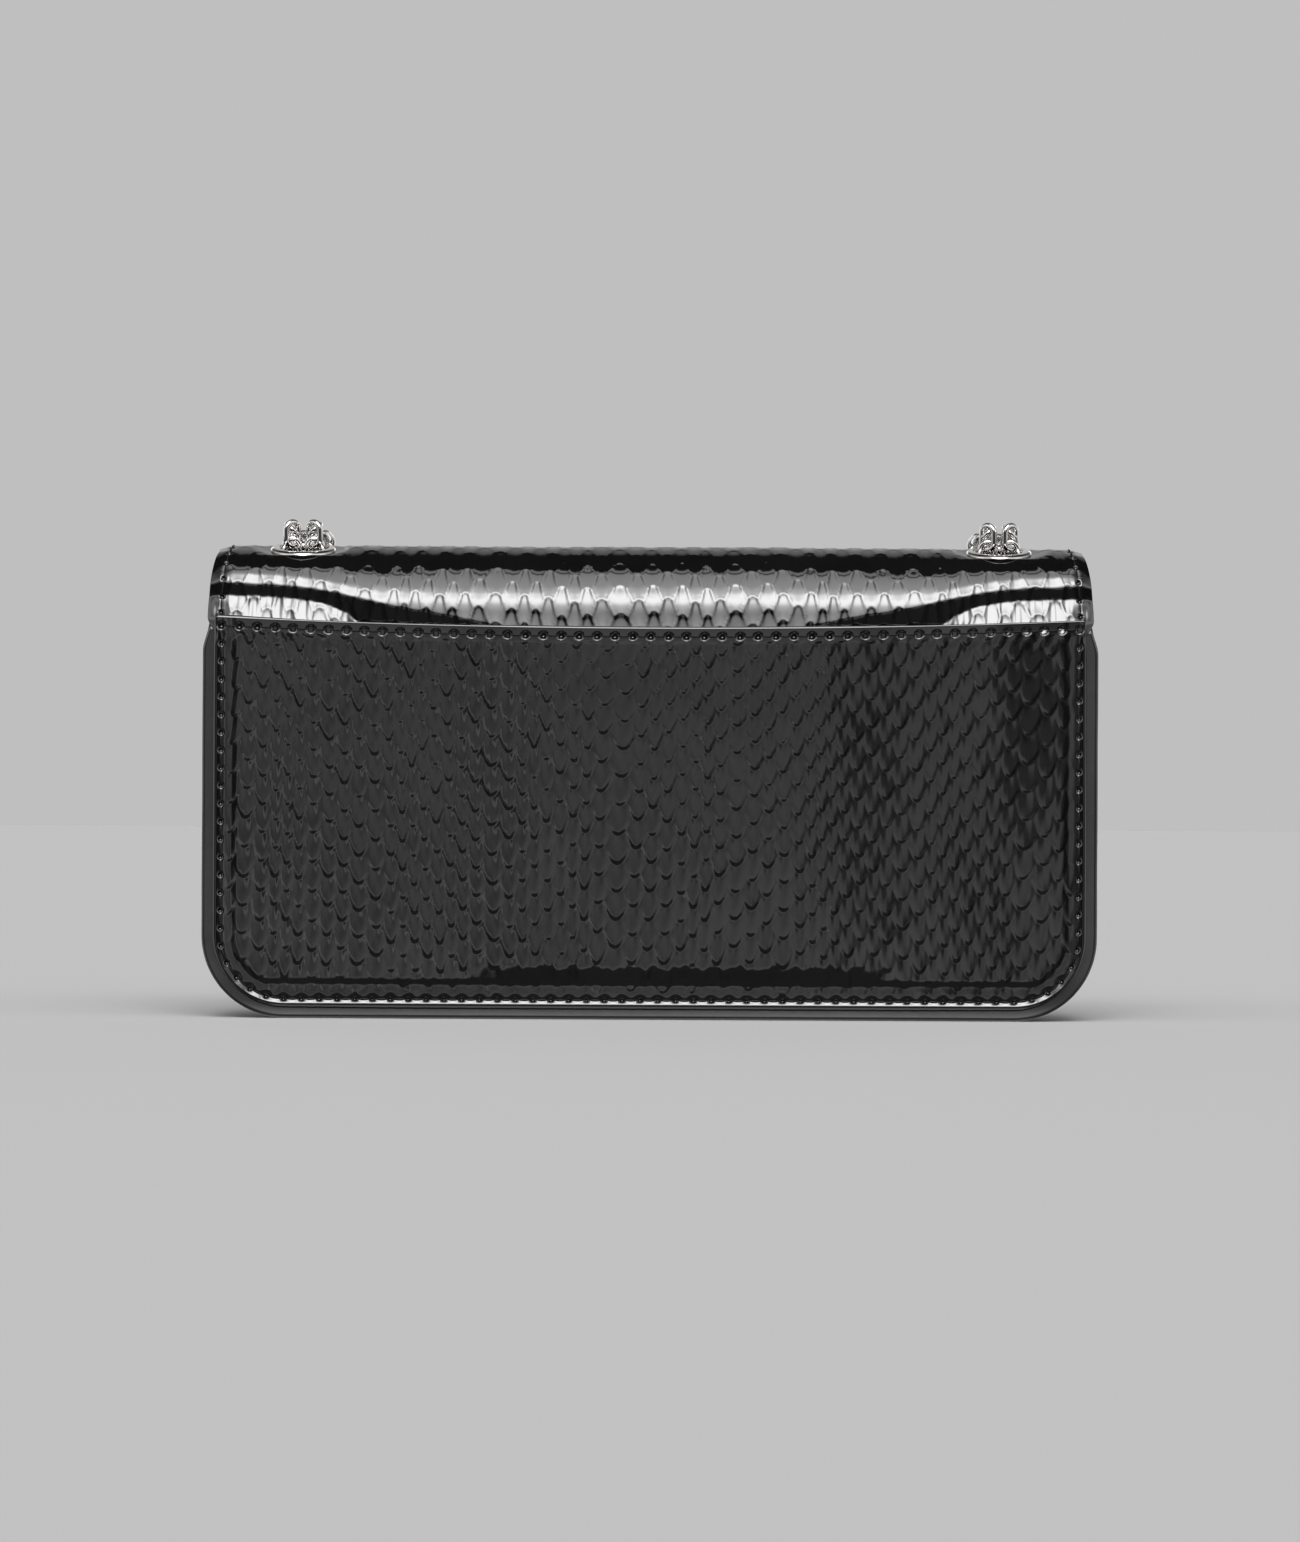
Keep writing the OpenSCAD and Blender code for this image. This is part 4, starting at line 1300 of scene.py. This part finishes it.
def world():
    sky = bpy.data.worlds.new("studio")
    bpy.context.scene.world = sky
    sky.use_nodes = True
    sky.node_tree.nodes.clear()

    def math_node(operation, a, b=None):
        node = add(sky, "ShaderNodeMath", operation=operation)
        for i, value in enumerate((a, b)):
            if isinstance(value, (int, float)):
                put(node, i, value)
            elif value is not None:
                link(sky, value, node.inputs[i])
        return node.outputs[0]

    def degrees(value):
        return math_node("MULTIPLY", value, 180 / math.pi)

    def curve(value, stops, low, high):
        node = add(sky, "ShaderNodeValToRGB")
        span = math_node("DIVIDE", math_node("SUBTRACT", value, low), high - low)
        link(sky, span, node.inputs["Fac"])
        elements = node.color_ramp.elements
        while len(elements) < len(stops):
            elements.new(0.5)
        for element, (at, _) in zip(elements, stops):
            element.position = (at - low) / (high - low)
        for element, (_, radiance) in zip(elements, stops):
            element.color = (radiance / PEAK,) * 3 + (1,)
        return math_node("MULTIPLY", node.outputs["Color"], PEAK)

    where = add(sky, "ShaderNodeTexCoord")
    axes = add(sky, "ShaderNodeSeparateXYZ")
    link(sky, where.outputs["Generated"], axes.inputs[0])
    x, y, z = axes.outputs
    turn = degrees(math_node("ARCTAN2", z, y))
    aside = degrees(math_node("ARCSINE", math_node("ABSOLUTE", x)))
    light = math_node("MULTIPLY", curve(turn, STUDIO, -180, 180), curve(aside, SPREAD, 0, 90))
    signed = degrees(math_node("ARCSINE", x))
    # A ramp holds no value below 0, so this one is lifted by 1 and lowered again
    lifted = tuple((at, extra + 1.0) for at, extra in LEVEL_SIDE)
    side = math_node("SUBTRACT", curve(signed, lifted, -90, 90), 1.0)
    side = math_node("MULTIPLY", side, curve(turn, NEAR_LEVEL, -180, 180))
    front = math_node("MULTIPLY", curve(aside, FRONT_SIDE, 0, 90), curve(turn, NEAR_FRONT, -180, 180))
    light = math_node("ADD", light, math_node("ADD", curve(aside, FILL, 0, 90), front))
    light = math_node("MAXIMUM", math_node("ADD", light, side), 0.01)
    # The camera sees the plain backdrop, and so do reflections within 7 degrees of straight
    # behind the bag
    path = add(sky, "ShaderNodeLightPath")
    plain = math_node("MAXIMUM", path.outputs["Is Camera Ray"], path.outputs["Is Transmission Ray"])
    behind = math_node("LESS_THAN", y, -math.cos(math.radians(7)))
    glossy = math_node("MULTIPLY", path.outputs["Is Glossy Ray"], behind)
    plain = math_node("MAXIMUM", plain, glossy)
    mix = add(sky, "ShaderNodeMix", data_type="FLOAT")
    link(sky, plain, mix.inputs[0])
    link(sky, light, mix.inputs[2])
    put(mix, 3, BACKDROP)
    shine = add(sky, "ShaderNodeBackground", Strength=1.0)
    link(sky, mix.outputs[0], shine.inputs["Color"])
    out = add(sky, "ShaderNodeOutputWorld")
    link(sky, shine.outputs[0], out.inputs["Surface"])


def floor_light():
    """Light that falls on a floor from the studio, over pi."""
    turn, aside = (np.radians(np.arange(0.5 - span, span)) for span in (180, 90))
    t, a = np.meshgrid(turn, aside)
    at_side = np.degrees(np.abs(a))
    radiance = np.interp(np.degrees(t), *np.array(STUDIO).T) * np.interp(at_side, *np.array(SPREAD).T)
    radiance = radiance + np.interp(at_side, *np.array(FILL).T)
    up = np.clip(np.sin(t), 0, None) * np.cos(a)
    patch = np.radians(1) ** 2 * np.cos(a)
    return float((radiance * up * patch).sum() / math.pi)


def floor():
    """A floor that renders as the backdrop does where the studio lights it."""
    mat, shader = node_material("pale_floor", (BACKDROP / floor_light(),) * 3, 0.9)
    put(shader, "Specular IOR Level", 0.0)
    size = 6000.0
    corners = [(-size, -size, 0), (size, -size, 0), (size, size, 0), (-size, size, 0)]
    obj = piece("floor", np.array(corners) - [0, 0, 0.02], [[0, 1, 2, 3]], [mat], closed=False)
    obj.visible_glossy = False


# Height of the photo's frame at the bag's back face, and the camera's place
PHOTO_H = 378.2
CAMERA_D = 1800.0
CAMERA_Z = 61.07
CAMERA_ROLL = math.radians(0.3)


def camera():
    data = bpy.data.cameras.new("camera")
    data.sensor_fit = "VERTICAL"
    data.sensor_height = 36.0
    data.lens = 36.0 * CAMERA_D / PHOTO_H
    data.clip_end = 50
    obj = bpy.data.objects.new("camera", data)
    bpy.context.scene.collection.objects.link(obj)
    turn = Matrix.Rotation(math.pi, 4, "Z") @ Matrix.Rotation(math.pi / 2, 4, "X")
    place = Matrix.Translation((0, (FACE_Y + CAMERA_D) * MM, CAMERA_Z * MM))
    obj.matrix_world = place @ turn @ Matrix.Rotation(CAMERA_ROLL, 4, "Z")
    bpy.context.scene.camera = obj


build_pocket()
build_back()
build_front()
build_gusset()
build_flap()
build_lining()
build_inner_pocket()
build_eyelets()
for node, body in (
    ("chain_lead_left", "flap"),
    ("chain_lead_right", "flap"),
    ("strap_inner_run", "strap_inner"),
    ("strap_outer_run", "strap_outer"),
):
    build_chain(node, body)
build_snap()
for node, mat in (
    ("back_board", BOARD),
    ("front_board", BOARD),
    ("base_board", BOARD),
    ("snap_backing", SNAP),
    ("stop_bar_left", SILVER),
    ("stop_bar_right", SILVER),
):
    mesh = frame["nodes"][node].data
    mesh.materials.clear()
    mesh.materials.append(mat)

world()
floor()
camera()
bpy.context.scene.view_settings.view_transform = "Standard"
